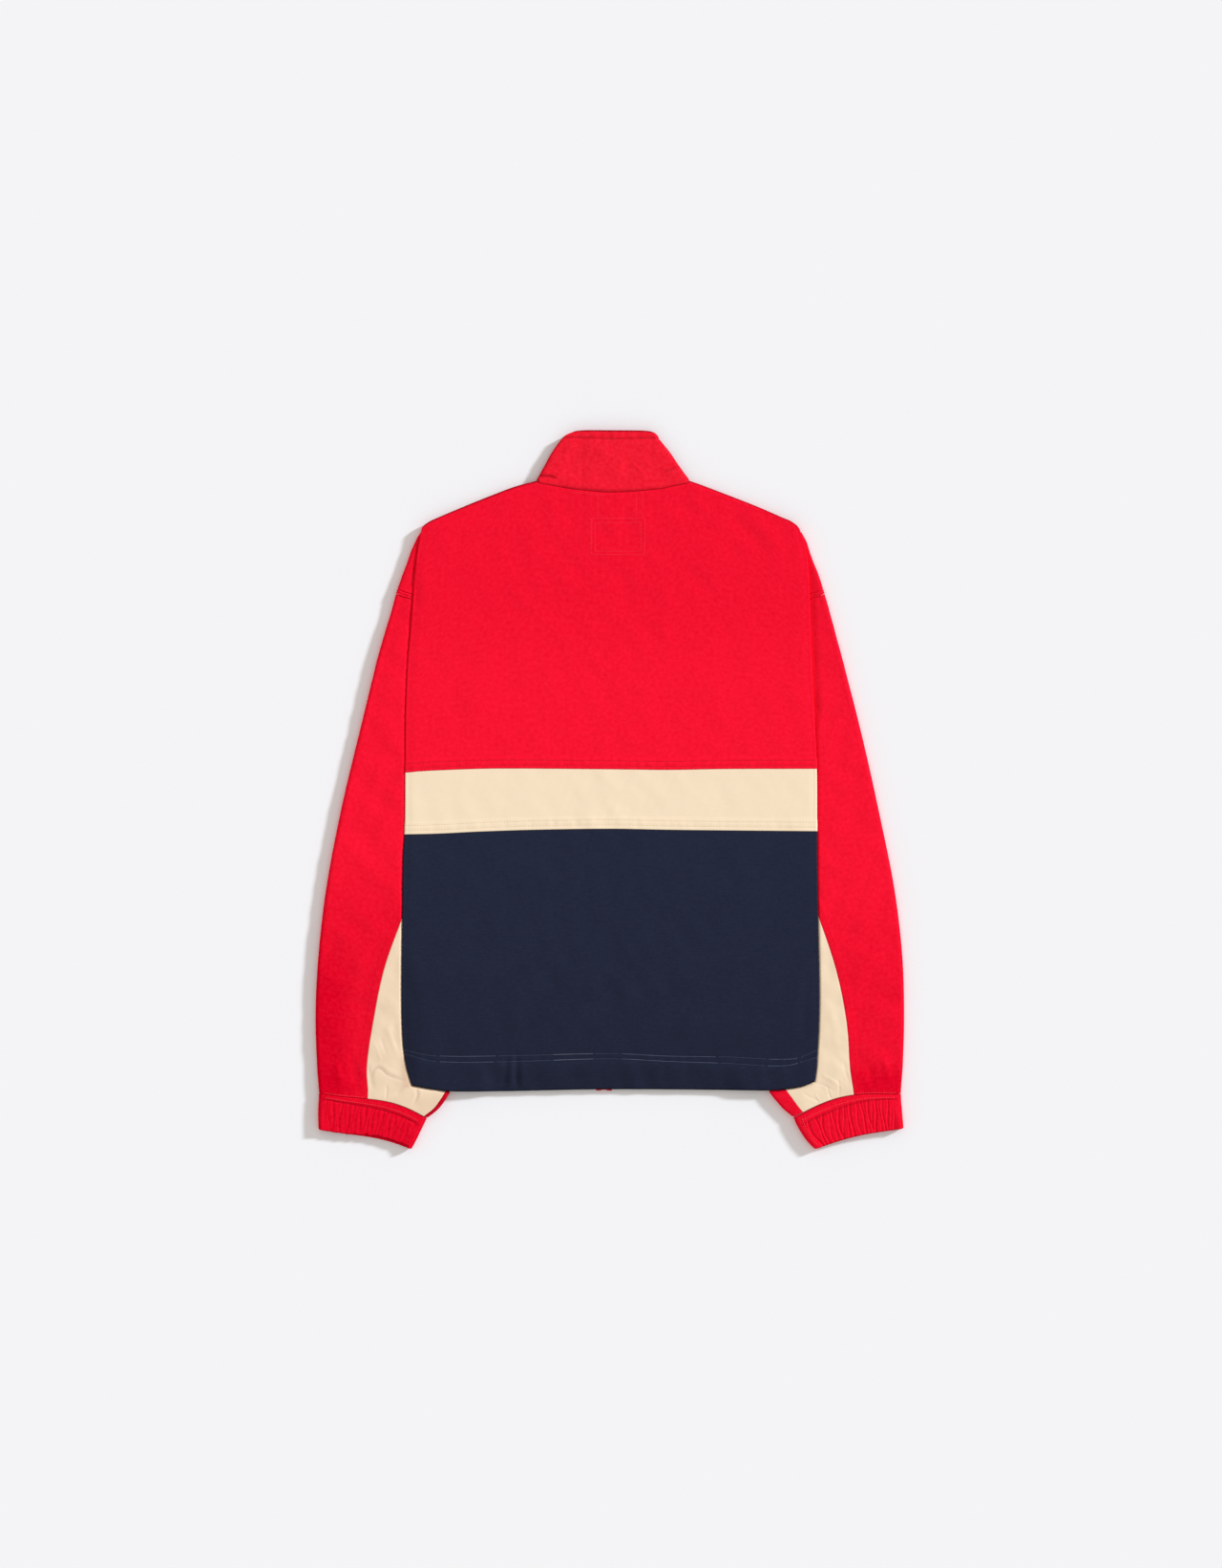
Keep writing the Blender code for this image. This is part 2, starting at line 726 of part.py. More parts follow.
def collar_fold(left, t):
    """Outward direction of the fold, which turns into the top edge at the corner."""
    lean = collar_lean(left, t)
    turn = CORNER_TURN * smooth((t - 0.6) / 0.4)
    angle = math.atan2(lean.y, lean.x) + (turn if left else -turn)
    return Vector((math.cos(angle), math.sin(angle)))


def collar_row(t, inner):
    half = LOFT / 2
    points = []
    bases = {}
    for left in (True, False):
        fold = collar_fold(left, t)
        extent = half * lerp(1.04, 1.0, smooth(t / 0.3))
        base = collar_corner(left, t) - fold * extent
        if t == 0:
            base = neck_start(left) + Vector((0.0, SEAM_GAP / 2))
        bases[left] = (base, fold, extent)

    def front(left):
        base = bases[left][0]
        lean = collar_lean(left, t)
        height = lerp(FRONT_NECK_Y, COLLAR_FRONT_Y, t)
        end = Vector((front_edge_x(left), height))
        reach = (base.y - end.y) / lean.y * lerp(0.93, 0.62, t)
        reach = min(reach, abs((end.x - base.x) / lean.x) * 0.85)
        line = []
        for k in range(COLLAR_FRONT_CELLS + 1):
            f = k / COLLAR_FRONT_CELLS
            line.append(bend(base, base - lean * reach, end, f))
        return line

    def lower_point(place):
        height = under_body(place.x, place.y)
        return Vector((place.x, place.y, height + (WALL if inner else 0.0)))

    def arc(left):
        base, fold, extent = bases[left]
        line = []
        for step in range(1, ARC_CELLS):
            line.append(fold_round(base, fold, extent, 0.0, step, WALL, inner))
        return line

    for place in reversed(front(True)):
        points.append(lower_point(place))
    points += list(reversed(arc(True)))
    left_base = bases[True][0]
    right_base = bases[False][0]
    for k in range(NECK_COLUMNS + 1):
        w = k / NECK_COLUMNS
        neck_x = lerp(NECK[0].x, NECK[-1].x, w)
        low = Vector((neck_x, curve_y(NECK, neck_x) + SEAM_GAP / 2))
        high_x = lerp(collar_corner(True, 1.0).x, collar_corner(False, 1.0).x, w)
        bulge = 1.0 - (2.0 * w - 1.0) ** 6
        high = Vector((high_x, COLLAR_TOP + COLLAR_BULGE * bulge))
        place = low.lerp(high, t)
        shift = (left_base - (Vector((NECK[0].x, NECK[0].y + SEAM_GAP / 2)).lerp(
            Vector((collar_corner(True, 1.0).x, COLLAR_TOP)), t)))
        place += shift * (1.0 - w) ** 3
        shift = (right_base - (Vector((NECK[-1].x, NECK[-1].y + SEAM_GAP / 2)).lerp(
            Vector((collar_corner(False, 1.0).x, COLLAR_TOP)), t)))
        place += shift * w ** 3
        height = body_top(place.x, place.y) - (WALL if inner else 0.0)
        points.append(Vector((place.x, place.y, height)))
    points += arc(False)
    for place in front(False):
        points.append(lower_point(place))
    return points


collar_outer = [collar_row(t, False) for t in COLLAR_ROWS]
collar_inner = [collar_row(t, True) for t in COLLAR_ROWS]
grid_shell("collar", collar_outer, collar_inner, RED)


# ---------------------------------------------------------------- sleeves
SLEEVE_STATIONS = 20
TOP_CELLS = 6
UNDER_CELLS = 7
FLOOR_CELLS = 6


def section(table, position):
    names = [n for n in table[0]._fields]
    return {n: along(table, n, position) for n in names}


def tube_point(cut, v, top, height, wall, inner):
    """A point of a flattened tube, v of the way from its outer to its inner edge."""
    a = Vector((cut["out_x"], cut["out_y"]))
    b = Vector((cut["in_x"], cut["in_y"]))
    across = (b - a).normalized()
    first = a + across * (height(a.x, a.y) / 2)
    last = b - across * (height(b.x, b.y) / 2)
    place = first.lerp(last, v)
    skew = LEFT_SKEW if cut["out_x"] < 0 else RIGHT_SKEW
    place.y += cut.get("bow", 0.0) * math.sin(math.pi * min(max(v, 0.0), 1.0) ** skew)
    if top:
        z = height(place.x, place.y) - (wall if inner else 0.0)
    else:
        z = wall if inner else 0.0
    return Vector((place.x, place.y, z))


def tube_arc(cut, at_out, step, height, wall, inner):
    """A point round the folded edge of a flattened tube, from its top down."""
    a = Vector((cut["out_x"], cut["out_y"]))
    b = Vector((cut["in_x"], cut["in_y"]))
    across = (b - a).normalized()
    edge = a if at_out else b
    outwards = -across if at_out else across
    full = height(edge.x, edge.y) / 2
    base = edge - outwards * full
    radius = full - (wall if inner else 0.0)
    angle = math.pi * step / ARC_CELLS
    place = base + outwards * (radius * math.sin(angle))
    return Vector((place.x, place.y, full + radius * math.cos(angle)))


def seam_shift(cut, v, sign):
    """Half a seam gap, as a share of the width of the tube."""
    width = math.hypot(cut["out_x"] - cut["in_x"], cut["out_y"] - cut["in_y"])
    return v + sign * SEAM_GAP / 2 / width


def sleeve(side, table):
    main_outer = []
    main_inner = []
    under_outer = []
    under_inner = []
    for n in range(SLEEVE_STATIONS + 1):
        position = n * (len(table) - 1) / SLEEVE_STATIONS
        cut = section(table, position)
        seam_out = seam_shift(cut, cut["seam_out"], -1.0)
        seam_in = seam_shift(cut, cut["seam_in"], 1.0)
        first = seam_shift(cut, cut["seam_out"], 1.0)
        last = seam_shift(cut, cut["seam_in"], -1.0)
        for inner in (False, True):
            row = [tube_point(cut, seam_in, True, sleeve_height, WALL, inner)]
            for step in range(0, ARC_CELLS + 1):
                row.append(tube_arc(cut, False, step, sleeve_height, WALL, inner))
            for k in range(1, FLOOR_CELLS):
                v = 1.0 - k / FLOOR_CELLS
                row.append(tube_point(cut, v, False, sleeve_height, WALL, inner))
            for step in range(ARC_CELLS, -1, -1):
                row.append(tube_arc(cut, True, step, sleeve_height, WALL, inner))
            for k in range(1, TOP_CELLS + 1):
                v = seam_out * k / TOP_CELLS
                row.append(tube_point(cut, v, True, sleeve_height, WALL, inner))
            (main_inner if inner else main_outer).append(row)
            row = []
            for k in range(UNDER_CELLS + 1):
                v = lerp(first, last, k / UNDER_CELLS)
                row.append(tube_point(cut, v, True, sleeve_height, WALL, inner))
            (under_inner if inner else under_outer).append(row)
    grid_shell("sleeve_main_" + side, main_outer, main_inner, RED)
    grid_shell("sleeve_panel_" + side, under_outer, under_inner, CREAM)


sleeve("left", SLEEVE_LEFT)
sleeve("right", SLEEVE_RIGHT)


# ---------------------------------------------------------------- shoulder drops
DROP_CELLS = 8


def drop(side, table):
    outer_rows = []
    inner_rows = []
    for n in range(2 * (len(table) - 1) + 1):
        cut = section(table, n / 2)
        for inner in (False, True):
            row = []
            for step in range(0, ARC_CELLS + 1):
                row.append(tube_arc(cut, False, step, sleeve_height, WALL, inner))
            for k in range(1, DROP_CELLS):
                v = 1.0 - k / DROP_CELLS
                row.append(tube_point(cut, v, False, sleeve_height, WALL, inner))
            for step in range(ARC_CELLS, -1, -1):
                row.append(tube_arc(cut, True, step, sleeve_height, WALL, inner))
            for k in range(1, DROP_CELLS):
                v = k / DROP_CELLS
                row.append(tube_point(cut, v, True, sleeve_height, WALL, inner))
            (inner_rows if inner else outer_rows).append(row)
    grid_shell("shoulder_drop_" + side, outer_rows, inner_rows, RED, closed=True)


drop("left", DROP_LEFT)
drop("right", DROP_RIGHT)


# ---------------------------------------------------------------- cuffs
GATHER_CELLS = 3       # cells in each fold
CUFF_FLOOR_CELLS = 12


def cuff(side, table):
    outer_rows = []
    inner_rows = []
    count = GATHERS * GATHER_CELLS

    def height(x, y):
        return CUFF_HEIGHT

    for cut_row in range(len(table)):
        cut = section(table, cut_row)
        for inner in (False, True):
            row = []
            for step in range(0, ARC_CELLS + 1):
                row.append(tube_arc(cut, False, step, height, CUFF_WALL, inner))
            for k in range(1, CUFF_FLOOR_CELLS):
                v = 1.0 - k / CUFF_FLOOR_CELLS
                row.append(tube_point(cut, v, False, height, CUFF_WALL, inner))
            for step in range(ARC_CELLS, -1, -1):
                row.append(tube_arc(cut, True, step, height, CUFF_WALL, inner))
            for k in range(1, count):
                v = k / count
                point = tube_point(cut, v, True, height, CUFF_WALL, inner)
                wave = (-1.0, 0.5, 0.5)[k % GATHER_CELLS]
                fade = smooth(min(v, 1.0 - v) * 12.0)
                point.z += (wave - 0.5) * GATHER_DEPTH / 1.5 * cut["gather"] * fade
                row.append(point)
            (inner_rows if inner else outer_rows).append(row)
    grid_shell("cuff_" + side, outer_rows, inner_rows, RED, closed=True)


cuff("left", CUFF_LEFT)
cuff("right", CUFF_RIGHT)


# ---------------------------------------------------------------- zip
TEETH_HALF_WIDTH = 2.6
TAPE_INNER = 2.9
TAPE_OUTER = 8.8
TAPE_LOW = 2.5         # heights above the outer face of the front panels
TAPE_HIGH = 3.1
TEETH_LOW = 1.0
TEETH_HIGH = 3.3
TAPE_END_Y = -332.4    # the tapes show just past the hem
BOX_LOW_Y = -331.6
BOX_HIGH_Y = -322.0
TEETH_TOP_Y = 320.5
TAPE_TOP_Y = 333.5
SLIDER_Y = 322.0       # middle of the slider, and of the pull's hinge
SLIDER_SIZE = (9.4, 12.0, 1.2)
SLIDER_GAP = 2.9       # room between the slider's two plates
HINGE_DROP = 1.4       # the hinge lies this far outside the front's face
PULL_LENGTH = 26.0
PULL_WIDTH = 6.4
PULL_THICK = 1.2


def zip_heights(low_y, high_y):
    """The rows of the front, seen at the centre, between two places."""
    ys = [row_y(row, CENTRE_FRONT) for row in front_lower + front_band + front_yoke]
    for k in range(1, 7):
        ys.append(lerp(FRONT_NECK_Y, COLLAR_FRONT_Y, k / 6))
    inside = [y for y in ys if low_y + 3.0 < y < high_y - 3.0]
    kept = [low_y]
    for y in inside + [high_y]:
        if y - kept[-1] > 1.0:
            kept.append(y)
    return kept


def swept_box(name, x_low, x_high, z_low, z_high, y_low, y_high, colour):
    bm = bmesh.new()
    rings = []
    for y in zip_heights(y_low, y_high):
        ring = []
        for x, z in ((x_low, z_low), (x_high, z_low), (x_high, z_high), (x_low, z_high)):
            place = CENTRE_FRONT + x
            ring.append(bm.verts.new((place, y, under_body(place, y) + z)))
        rings.append(ring)
    for ring, above in zip(rings, rings[1:]):
        for k in range(4):
            n = (k + 1) % 4
            bm.faces.new([ring[k], ring[n], above[n], above[k]])
    bm.faces.new(list(reversed(rings[0])))
    bm.faces.new(rings[-1])
    return finish_mesh(name, bm, colour, 0.6, round_faces=False)


swept_box("zip_tape_left", -TAPE_OUTER, -TAPE_INNER, TAPE_LOW, TAPE_HIGH,
          TAPE_END_Y, TAPE_TOP_Y, RED)
swept_box("zip_tape_right", TAPE_INNER, TAPE_OUTER, TAPE_LOW, TAPE_HIGH,
          TAPE_END_Y, TAPE_TOP_Y, RED)
swept_box("zip_teeth", -TEETH_HALF_WIDTH, TEETH_HALF_WIDTH, TEETH_LOW, TEETH_HIGH,
          BOX_HIGH_Y + SEAM_GAP, TEETH_TOP_Y, RED)
swept_box("zip_box", -TEETH_HALF_WIDTH, TEETH_HALF_WIDTH, TEETH_LOW - 0.4,
          TEETH_HIGH + 0.4, BOX_LOW_Y, BOX_HIGH_Y, RED)

cutters = bpy.data.collections.new("cutters")
bpy.context.scene.collection.children.link(cutters)


def box(name, size, centre, bevel=0.0, bevel_all=True, where=None):
    """A box in millimetres, its edges rounded by bevel."""
    bm = bmesh.new()
    bmesh.ops.create_cube(bm, size=1.0)
    for vert in bm.verts:
        vert.co = Vector((vert.co.x * size[0], vert.co.y * size[1], vert.co.z * size[2]))
    if bevel > 0:
        edges = list(bm.edges)
        if not bevel_all:
            edges = [e for e in edges if abs((e.verts[0].co - e.verts[1].co).z) > 1e-6]
        bmesh.ops.bevel(bm, geom=edges, offset=bevel, segments=2, profile=0.5,
                        affect="EDGES")
    for vert in bm.verts:
        vert.co = (vert.co + Vector(centre)) * MM
    mesh = bpy.data.meshes.new(name)
    bm.to_mesh(mesh)
    bm.free()
    item = bpy.data.objects.new(name, mesh)
    (where or collection).objects.link(item)
    return item


def combine(target, operation, tools):
    for tool in tools:
        tool.hide_render = True
        tool.display_type = "WIRE"
        step = target.modifiers.new(tool.name, "BOOLEAN")
        step.operation = operation
        step.solver = "EXACT"
        step.object = tool


def dress(item, colour, roughness, metallic):
    item.data.materials.append(make_material(item.name, colour, roughness, metallic))
    item.parent = root


face_height = under_body(CENTRE_FRONT, SLIDER_Y)
plate_x, plate_y, plate_z = SLIDER_SIZE
lower_z = face_height + TEETH_LOW - SEAM_GAP - plate_z / 2
upper_z = lower_z + plate_z + SLIDER_GAP
hinge_z = face_height - HINGE_DROP
arch_top = lower_z - plate_z / 2
arch_inner = hinge_z - PULL_THICK / 2 - 0.4
arch_outer = arch_inner - 0.85
leg_height = lower_z - arch_outer

slider = box("zip_slider", SLIDER_SIZE, (CENTRE_FRONT, SLIDER_Y, lower_z), 0.35)
slider_parts = [
    box("slider_upper", SLIDER_SIZE, (CENTRE_FRONT, SLIDER_Y, upper_z), 0.35,
        where=cutters),
    box("slider_divider", (2.4, 3.6, upper_z - lower_z),
        (CENTRE_FRONT, SLIDER_Y + 3.0, (upper_z + lower_z) / 2), where=cutters),
    box("slider_leg_low", (2.6, 1.2, leg_height),
        (CENTRE_FRONT, SLIDER_Y - 2.8, arch_outer + leg_height / 2), where=cutters),
    box("slider_leg_high", (2.6, 1.2, leg_height),
        (CENTRE_FRONT, SLIDER_Y + 2.8, arch_outer + leg_height / 2), where=cutters),
    box("slider_arch", (2.6, 6.0, 0.85),
        (CENTRE_FRONT, SLIDER_Y, arch_outer + 0.425), where=cutters),
]
combine(slider, "UNION", slider_parts)
dress(slider, METAL, 0.35, 1.0)

# the pull hangs from a bar through the slider's arch, and its origin is on the hinge
pull = box("zip_pull", (PULL_WIDTH, PULL_LENGTH, PULL_THICK),
           (0.0, 0.6 - PULL_LENGTH / 2, 0.0), 0.5, False)
pull_window = box("pull_window", (3.4, 4.8, 4.0), (0.0, -3.0, 0.0), where=cutters)
combine(pull, "DIFFERENCE", [pull_window])
dress(pull, METAL, 0.35, 1.0)
for part in (pull, pull_window):
    part.location = Vector((CENTRE_FRONT, SLIDER_Y, hinge_z)) * MM
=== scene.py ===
"""Looks of a windbreaker laid flat on its front, with the back of the body up.

The cloth pieces take the plan and the heights of their solids, with a finer
surface: rolled edges at the seams, raised seam allowances, topstitching, gathered
cuffs and creases. Sizes are millimetres unless a name says otherwise; X points
right, Y points to the collar and Z is up.
"""

import math
from collections import namedtuple

import bmesh
import bpy
import numpy as np
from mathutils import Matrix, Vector


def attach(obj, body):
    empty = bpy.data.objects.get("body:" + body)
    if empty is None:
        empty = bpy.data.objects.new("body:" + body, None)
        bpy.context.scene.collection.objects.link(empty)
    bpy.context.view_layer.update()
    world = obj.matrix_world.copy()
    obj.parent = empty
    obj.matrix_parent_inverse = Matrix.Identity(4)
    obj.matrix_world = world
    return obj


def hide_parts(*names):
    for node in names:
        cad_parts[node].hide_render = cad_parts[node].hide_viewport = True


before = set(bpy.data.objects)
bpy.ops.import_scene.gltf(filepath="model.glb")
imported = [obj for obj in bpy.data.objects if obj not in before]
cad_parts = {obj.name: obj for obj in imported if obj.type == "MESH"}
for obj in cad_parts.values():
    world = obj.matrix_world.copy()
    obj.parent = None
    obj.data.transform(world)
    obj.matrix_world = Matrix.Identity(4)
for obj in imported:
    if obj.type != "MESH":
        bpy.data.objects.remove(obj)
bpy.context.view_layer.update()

MM = 0.001

# ---------------------------------------------------------------- sizes, as in the solids
NECK_SEAM_DROP = 1.3
WALL = 2.0
CUFF_WALL = 2.5
HIDDEN_SEAM_GAP = 0.7
LOFT = 7.8
PRESSED_BODY = 4.6
PRESSED_SLEEVE = 4.5
BODY_ON_SLEEVE = 5.0
SUPPORT_CLEAR = 20.0
SUPPORT_RAMP = 40.0
SLEEVE_CLEAR = 12.0
SLEEVE_RAMP = 40.0
SIDE_TUCK = 25.0
SHOULDER_TUCK = 15.0
TIP_TUCK = 3.0
TIP_CLEAR = 3.5
CENTRE_FRONT = -6.6
FRONT_OPENING = 5.2
FRONT_NECK_Y = 267.0
COLLAR_FRONT_Y = 336.0
SLIDER_LIFT = 3.5
CUFF_HEIGHT = 8.4
SEAM_EDGE = 0.06       # a shown piece stops this far from the middle of its seam
SEAM_ROLL = 0.5        # radius at an edge that is sewn
RIM_ROLL = 0.95        # and at one that isn't
MIDDLE = 1.3           # X of the middle of the neck seam
ARMHOLE_Y = 216.5      # of the sleeve's outer edge at the armhole seam
FAR = 1e3              # a distance that no edge is within

BODY_SIDES = np.array([
    (-326.8, -218.7, 225.5), (-306.8, -224.5, 228.1), (-287.8, -227.7, 229.5),
    (-266.7, -229.3, 230.7), (-224.5, -230.1, 231.5), (-140.1, -229.3, 230.0),
    (-76.8, -228.5, 228.9), (-45.2, -226.6, 228.9), (23.4, -226.1, 228.6),
    (81.4, -225.8, 226.0), (139.5, -223.4, 223.1), (182.7, -219.8, 221.5),
    (213.3, -217.6, 220.7), (239.7, -215.5, 219.7), (266.1, -212.4, 216.5),
    (291.5, -207.6, 209.4)])
HEM = np.array([
    (-218.7, -326.8), (-209.7, -328.5), (-197.1, -330.7), (-178.1, -333.0),
    (-125.3, -333.2), (-83.1, -332.4), (-17.7, -331.1), (64.6, -331.1),
    (159.5, -332.1), (182.7, -332.0), (207.0, -328.9), (218.6, -325.8),
    (226.0, -321.5)])
BAND_LOW = np.array([
    (-226.6, -49.2), (-188.6, -48.3), (-146.4, -46.2), (-83.1, -44.1), (1.3, -43.0),
    (64.6, -44.1), (127.9, -44.8), (229.1, -45.7)])
BAND_HIGH = np.array([
    (-226.1, 19.2), (-209.7, 20.8), (-178.1, 22.4), (-125.3, 23.9), (1.3, 23.1),
    (64.6, 22.4), (127.9, 23.4), (229.1, 23.6)])
SHOULDER_LEFT = np.array([
    (-209.5, 287.0), (-203.4, 294.6), (-190.7, 300.9), (-161.2, 313.5),
    (-129.6, 326.2), (-104.2, 335.7), (-81.0, 342.0)])
SHOULDER_RIGHT = np.array([
    (87.8, 342.0), (106.8, 335.2), (128.9, 326.7), (162.7, 313.5), (189.1, 301.9),
    (204.9, 294.6), (210.5, 287.0)])
NECK = np.array([
    (-78.5, 338.8), (-62.0, 335.9), (-40.9, 332.2), (1.3, 328.6), (54.0, 332.3),
    (70.9, 335.7), (85.3, 338.8)])

CROSS = ("out_x", "out_y", "in_x", "in_y", "seam_out", "seam_in", "bow")
SLEEVE_LEFT = np.array([
    (-235.1, ARMHOLE_Y, -49.4, 89.9, 0.62, 0.95, 0.0),
    (-247.2, 176.4, -55.7, 58.2, 0.60, 0.95, 0.0),
    (-259.3, 135.3, -65.2, 25.5, 0.58, 0.95, 0.0),
    (-278.3, 58.2, -83.1, -26.2, 0.55, 0.95, 0.0),
    (-297.8, -24.1, -103.2, -85.2, 0.51, 0.95, 0.0),
    (-313.7, -108.5, -122.2, -150.7, 0.46, 0.95, 0.0),
    (-322.3, -182.3, -142.2, -216.1, 0.398, 0.95, 0.0),
    (-325.5, -245.6, -157.6, -272.0, 0.370, 0.965, 0.0),
    (-324.2, -298.4, -171.4, -319.5, 0.351, 0.98, 1.5),
    (-322.4, -324.7, -188.4, -349.0, 0.397, 0.985, 5.0),
    (-321.6, -334.8, -201.9, -361.9, 0.440, 0.985, 7.5)])
SLEEVE_RIGHT = np.array([
    (236.5, ARMHOLE_Y, 49.4, 89.9, 0.62, 0.90, 0.0),
    (248.1, 176.4, 55.7, 58.2, 0.60, 0.90, 0.0),
    (259.7, 135.3, 65.2, 25.5, 0.58, 0.90, 0.0),
    (279.3, 58.2, 83.1, -26.2, 0.55, 0.90, 0.0),
    (297.7, -24.1, 103.2, -85.2, 0.52, 0.90, 0.0),
    (314.6, -108.5, 122.2, -150.7, 0.455, 0.90, 0.0),
    (323.4, -182.3, 142.2, -216.1, 0.400, 0.90, 0.0),
    (325.5, -245.6, 157.0, -272.0, 0.369, 0.90, 0.0),
    (324.3, -298.4, 169.6, -319.5, 0.370, 0.90, 2.0),
    (322.5, -324.7, 189.8, -349.0, 0.393, 0.905, 6.0),
    (321.8, -335.3, 202.6, -361.0, 0.427, 0.93, 10.2)])
CUFF = ("out_x", "out_y", "in_x", "in_y", "bow")
CUFF_LEFT = np.array([
    (-321.7, -335.1, -202.3, -362.3, 7.4), (-322.1, -343.5, -206.0, -370.5, 7.0),
    (-322.6, -352.5, -210.0, -378.5, 5.8), (-322.6, -364.0, -214.5, -388.0, 4.4),
    (-322.3, -375.4, -219.4, -397.0, 3.4)])
CUFF_RIGHT = np.array([
    (321.9, -335.7, 203.0, -361.4, 10.1), (322.2, -343.5, 206.5, -370.0, 9.0),
    (323.0, -352.5, 211.3, -378.5, 7.0), (323.9, -363.5, 217.8, -388.0, 4.6),
    (324.9, -374.1, 226.4, -397.0, 3.2)])
LEFT_SKEW = 1.6        # a bow is strongest nearer to the inner edge above 1
RIGHT_SKEW = 1.1
DROP = ("out_x", "out_y", "in_x", "in_y")
DROP_LEFT = np.array([
    (-235.0, 216.8, -49.3, 90.2), (-228.6, 236.0, -84.0, 134.0),
    (-223.5, 249.5, -118.0, 176.5), (-219.0, 262.0, -148.0, 214.0),
    (-213.6, 274.5, -172.0, 245.0), (-208.9, 285.0, -189.0, 268.0)])
DROP_RIGHT = np.array([
    (236.4, 216.8, 49.3, 90.2), (230.4, 236.0, 84.0, 134.0),
    (225.4, 249.5, 118.0, 176.5), (221.2, 262.0, 148.0, 214.0),
    (217.4, 274.5, 172.0, 245.0), (212.0, 285.0, 189.0, 268.0)])
HIDDEN_EDGES = np.array([
    (-362.2, -203.4, 204.9), (-351.1, -191.8, 193.3), (-319.5, -173.9, 174.3),
    (-272.0, -159.1, 159.1), (-216.1, -142.2, 142.2), (-150.7, -122.2, 122.2),
    (-85.2, -103.2, 103.2), (-26.2, -83.1, 83.1), (25.5, -65.2, 65.2),
    (90.2, -49.4, 49.4), (134.0, -84.0, 84.0), (176.5, -118.0, 118.0),
    (214.0, -148.0, 148.0), (245.0, -172.0, 172.0), (290.0, -206.0, 206.0)])
COLLAR_EDGES = np.array([
    (0.00, -81.0, 342.0, 87.8, 342.0), (0.28, -72.4, 357.6, 79.3, 354.0),
    (0.60, -62.4, 375.6, 66.2, 373.2), (0.86, -52.6, 388.6, 54.6, 388.0),
    (0.94, -48.0, 392.4, 52.6, 391.6), (1.00, -42.1, 395.0, 49.6, 394.6)])
COLLAR_TOP = 395.9
COLLAR_BULGE = 1.4
CORNER_TURN = math.radians(56)


# ---------------------------------------------------------------- small functions
def lerp(a, b, t):
    return a + (b - a) * t


def smooth(t):
    t = np.clip(t, 0.0, 1.0)
    return t * t * (3.0 - 2.0 * t)


def through(keys, values, key):
    """A smooth curve through the given values, level outside their range."""
    key = np.clip(key, keys[0], keys[-1])
    last = len(keys) - 1
    i = np.clip(np.searchsorted(keys, key, side="right") - 1, 0, last - 1)
    before = np.maximum(np.arange(last + 1) - 1, 0)
    after = np.minimum(np.arange(last + 1) + 1, last)
    slopes = (values[after] - values[before]) / (keys[after] - keys[before])
    span = keys[i + 1] - keys[i]
    t = (key - keys[i]) / span
    t2 = t * t
    t3 = t2 * t
    return ((2 * t3 - 3 * t2 + 1) * values[i] + (t3 - 2 * t2 + t) * span * slopes[i]
            + (-2 * t3 + 3 * t2) * values[i + 1] + (t3 - t2) * span * slopes[i + 1])


def section(table, names, position):
    keys = np.arange(len(table), dtype=float)
    return {n: through(keys, table[:, k], position) for k, n in enumerate(names)}


def curve(points):
    return lambda x: through(points[:, 0], points[:, 1], x)


hem_y = curve(HEM)
band_low_y = curve(BAND_LOW)
band_high_y = curve(BAND_HIGH)
neck_y = curve(NECK)


def side_curve(table):
    """X at a height, from a table's column for the left or the right side."""
    return lambda left, y: through(table[:, 0], table[:, 1 if left else 2], y)


side_x = side_curve(BODY_SIDES)
hidden_x = side_curve(HIDDEN_EDGES)


def bell(distance, width):
    return np.exp(-(distance / width) ** 2)


def plan(points):
    return points[..., 0], points[..., 1]


def unit(x, y):
    length = np.hypot(x, y)
    return x / length, y / length


def over_sleeves(x, y):
    reach = SUPPORT_CLEAR + SUPPORT_RAMP
    left = smooth((hidden_x(True, y) + reach - x) / SUPPORT_RAMP)
    right = smooth((x - hidden_x(False, y) + reach) / SUPPORT_RAMP)
    return 1.0 - (1.0 - left) * (1.0 - right)


def slider_bump(x, y):
    across = 1.0 - smooth((np.abs(x - CENTRE_FRONT) - 14.0) / 40.0)
    return SLIDER_LIFT * across * smooth((y - 252.0) / 44.0)


def under_body(x, y):
    return BODY_ON_SLEEVE * over_sleeves(x, y) + slider_bump(x, y)


def body_height(x, y):
    return lerp(LOFT, PRESSED_BODY, over_sleeves(x, y))


def body_top(x, y):
    return under_body(x, y) + body_height(x, y)


def outside_body(x, y):
    """Distance of a point outside the plan of the body, negative inside."""
    beside = np.maximum(side_x(True, y) - x, x - side_x(False, y))
    below = hem_y(x) - y
    corner = np.hypot(np.maximum(beside, 0.0), np.maximum(below, 0.0))
    return np.where((beside > 0) & (below > 0), corner, np.maximum(beside, below))


def sleeve_height(x, y):
    rise = smooth((outside_body(x, y) - SLEEVE_CLEAR) / SLEEVE_RAMP)
    return lerp(PRESSED_SLEEVE, LOFT, rise)


def cuff_height(x, y):
    return np.full(np.shape(x), CUFF_HEIGHT)


# ---------------------------------------------------------------- relief of the cloth
def waves(x, y, seed, count, short, long, height):
    """Soft unevenness: waves of mixed lengths and directions."""
    rng = np.random.default_rng(seed)
    total = np.zeros(np.shape(x))
    for _ in range(count):
        length = short * (long / short) ** rng.random()
        turn = rng.random() * 2 * math.pi
        phase = rng.random() * 2 * math.pi
        run = x * math.cos(turn) + y * math.sin(turn)
        total = total + np.sin(run * 2 * math.pi / length + phase)
    return total * height / math.sqrt(count / 2)


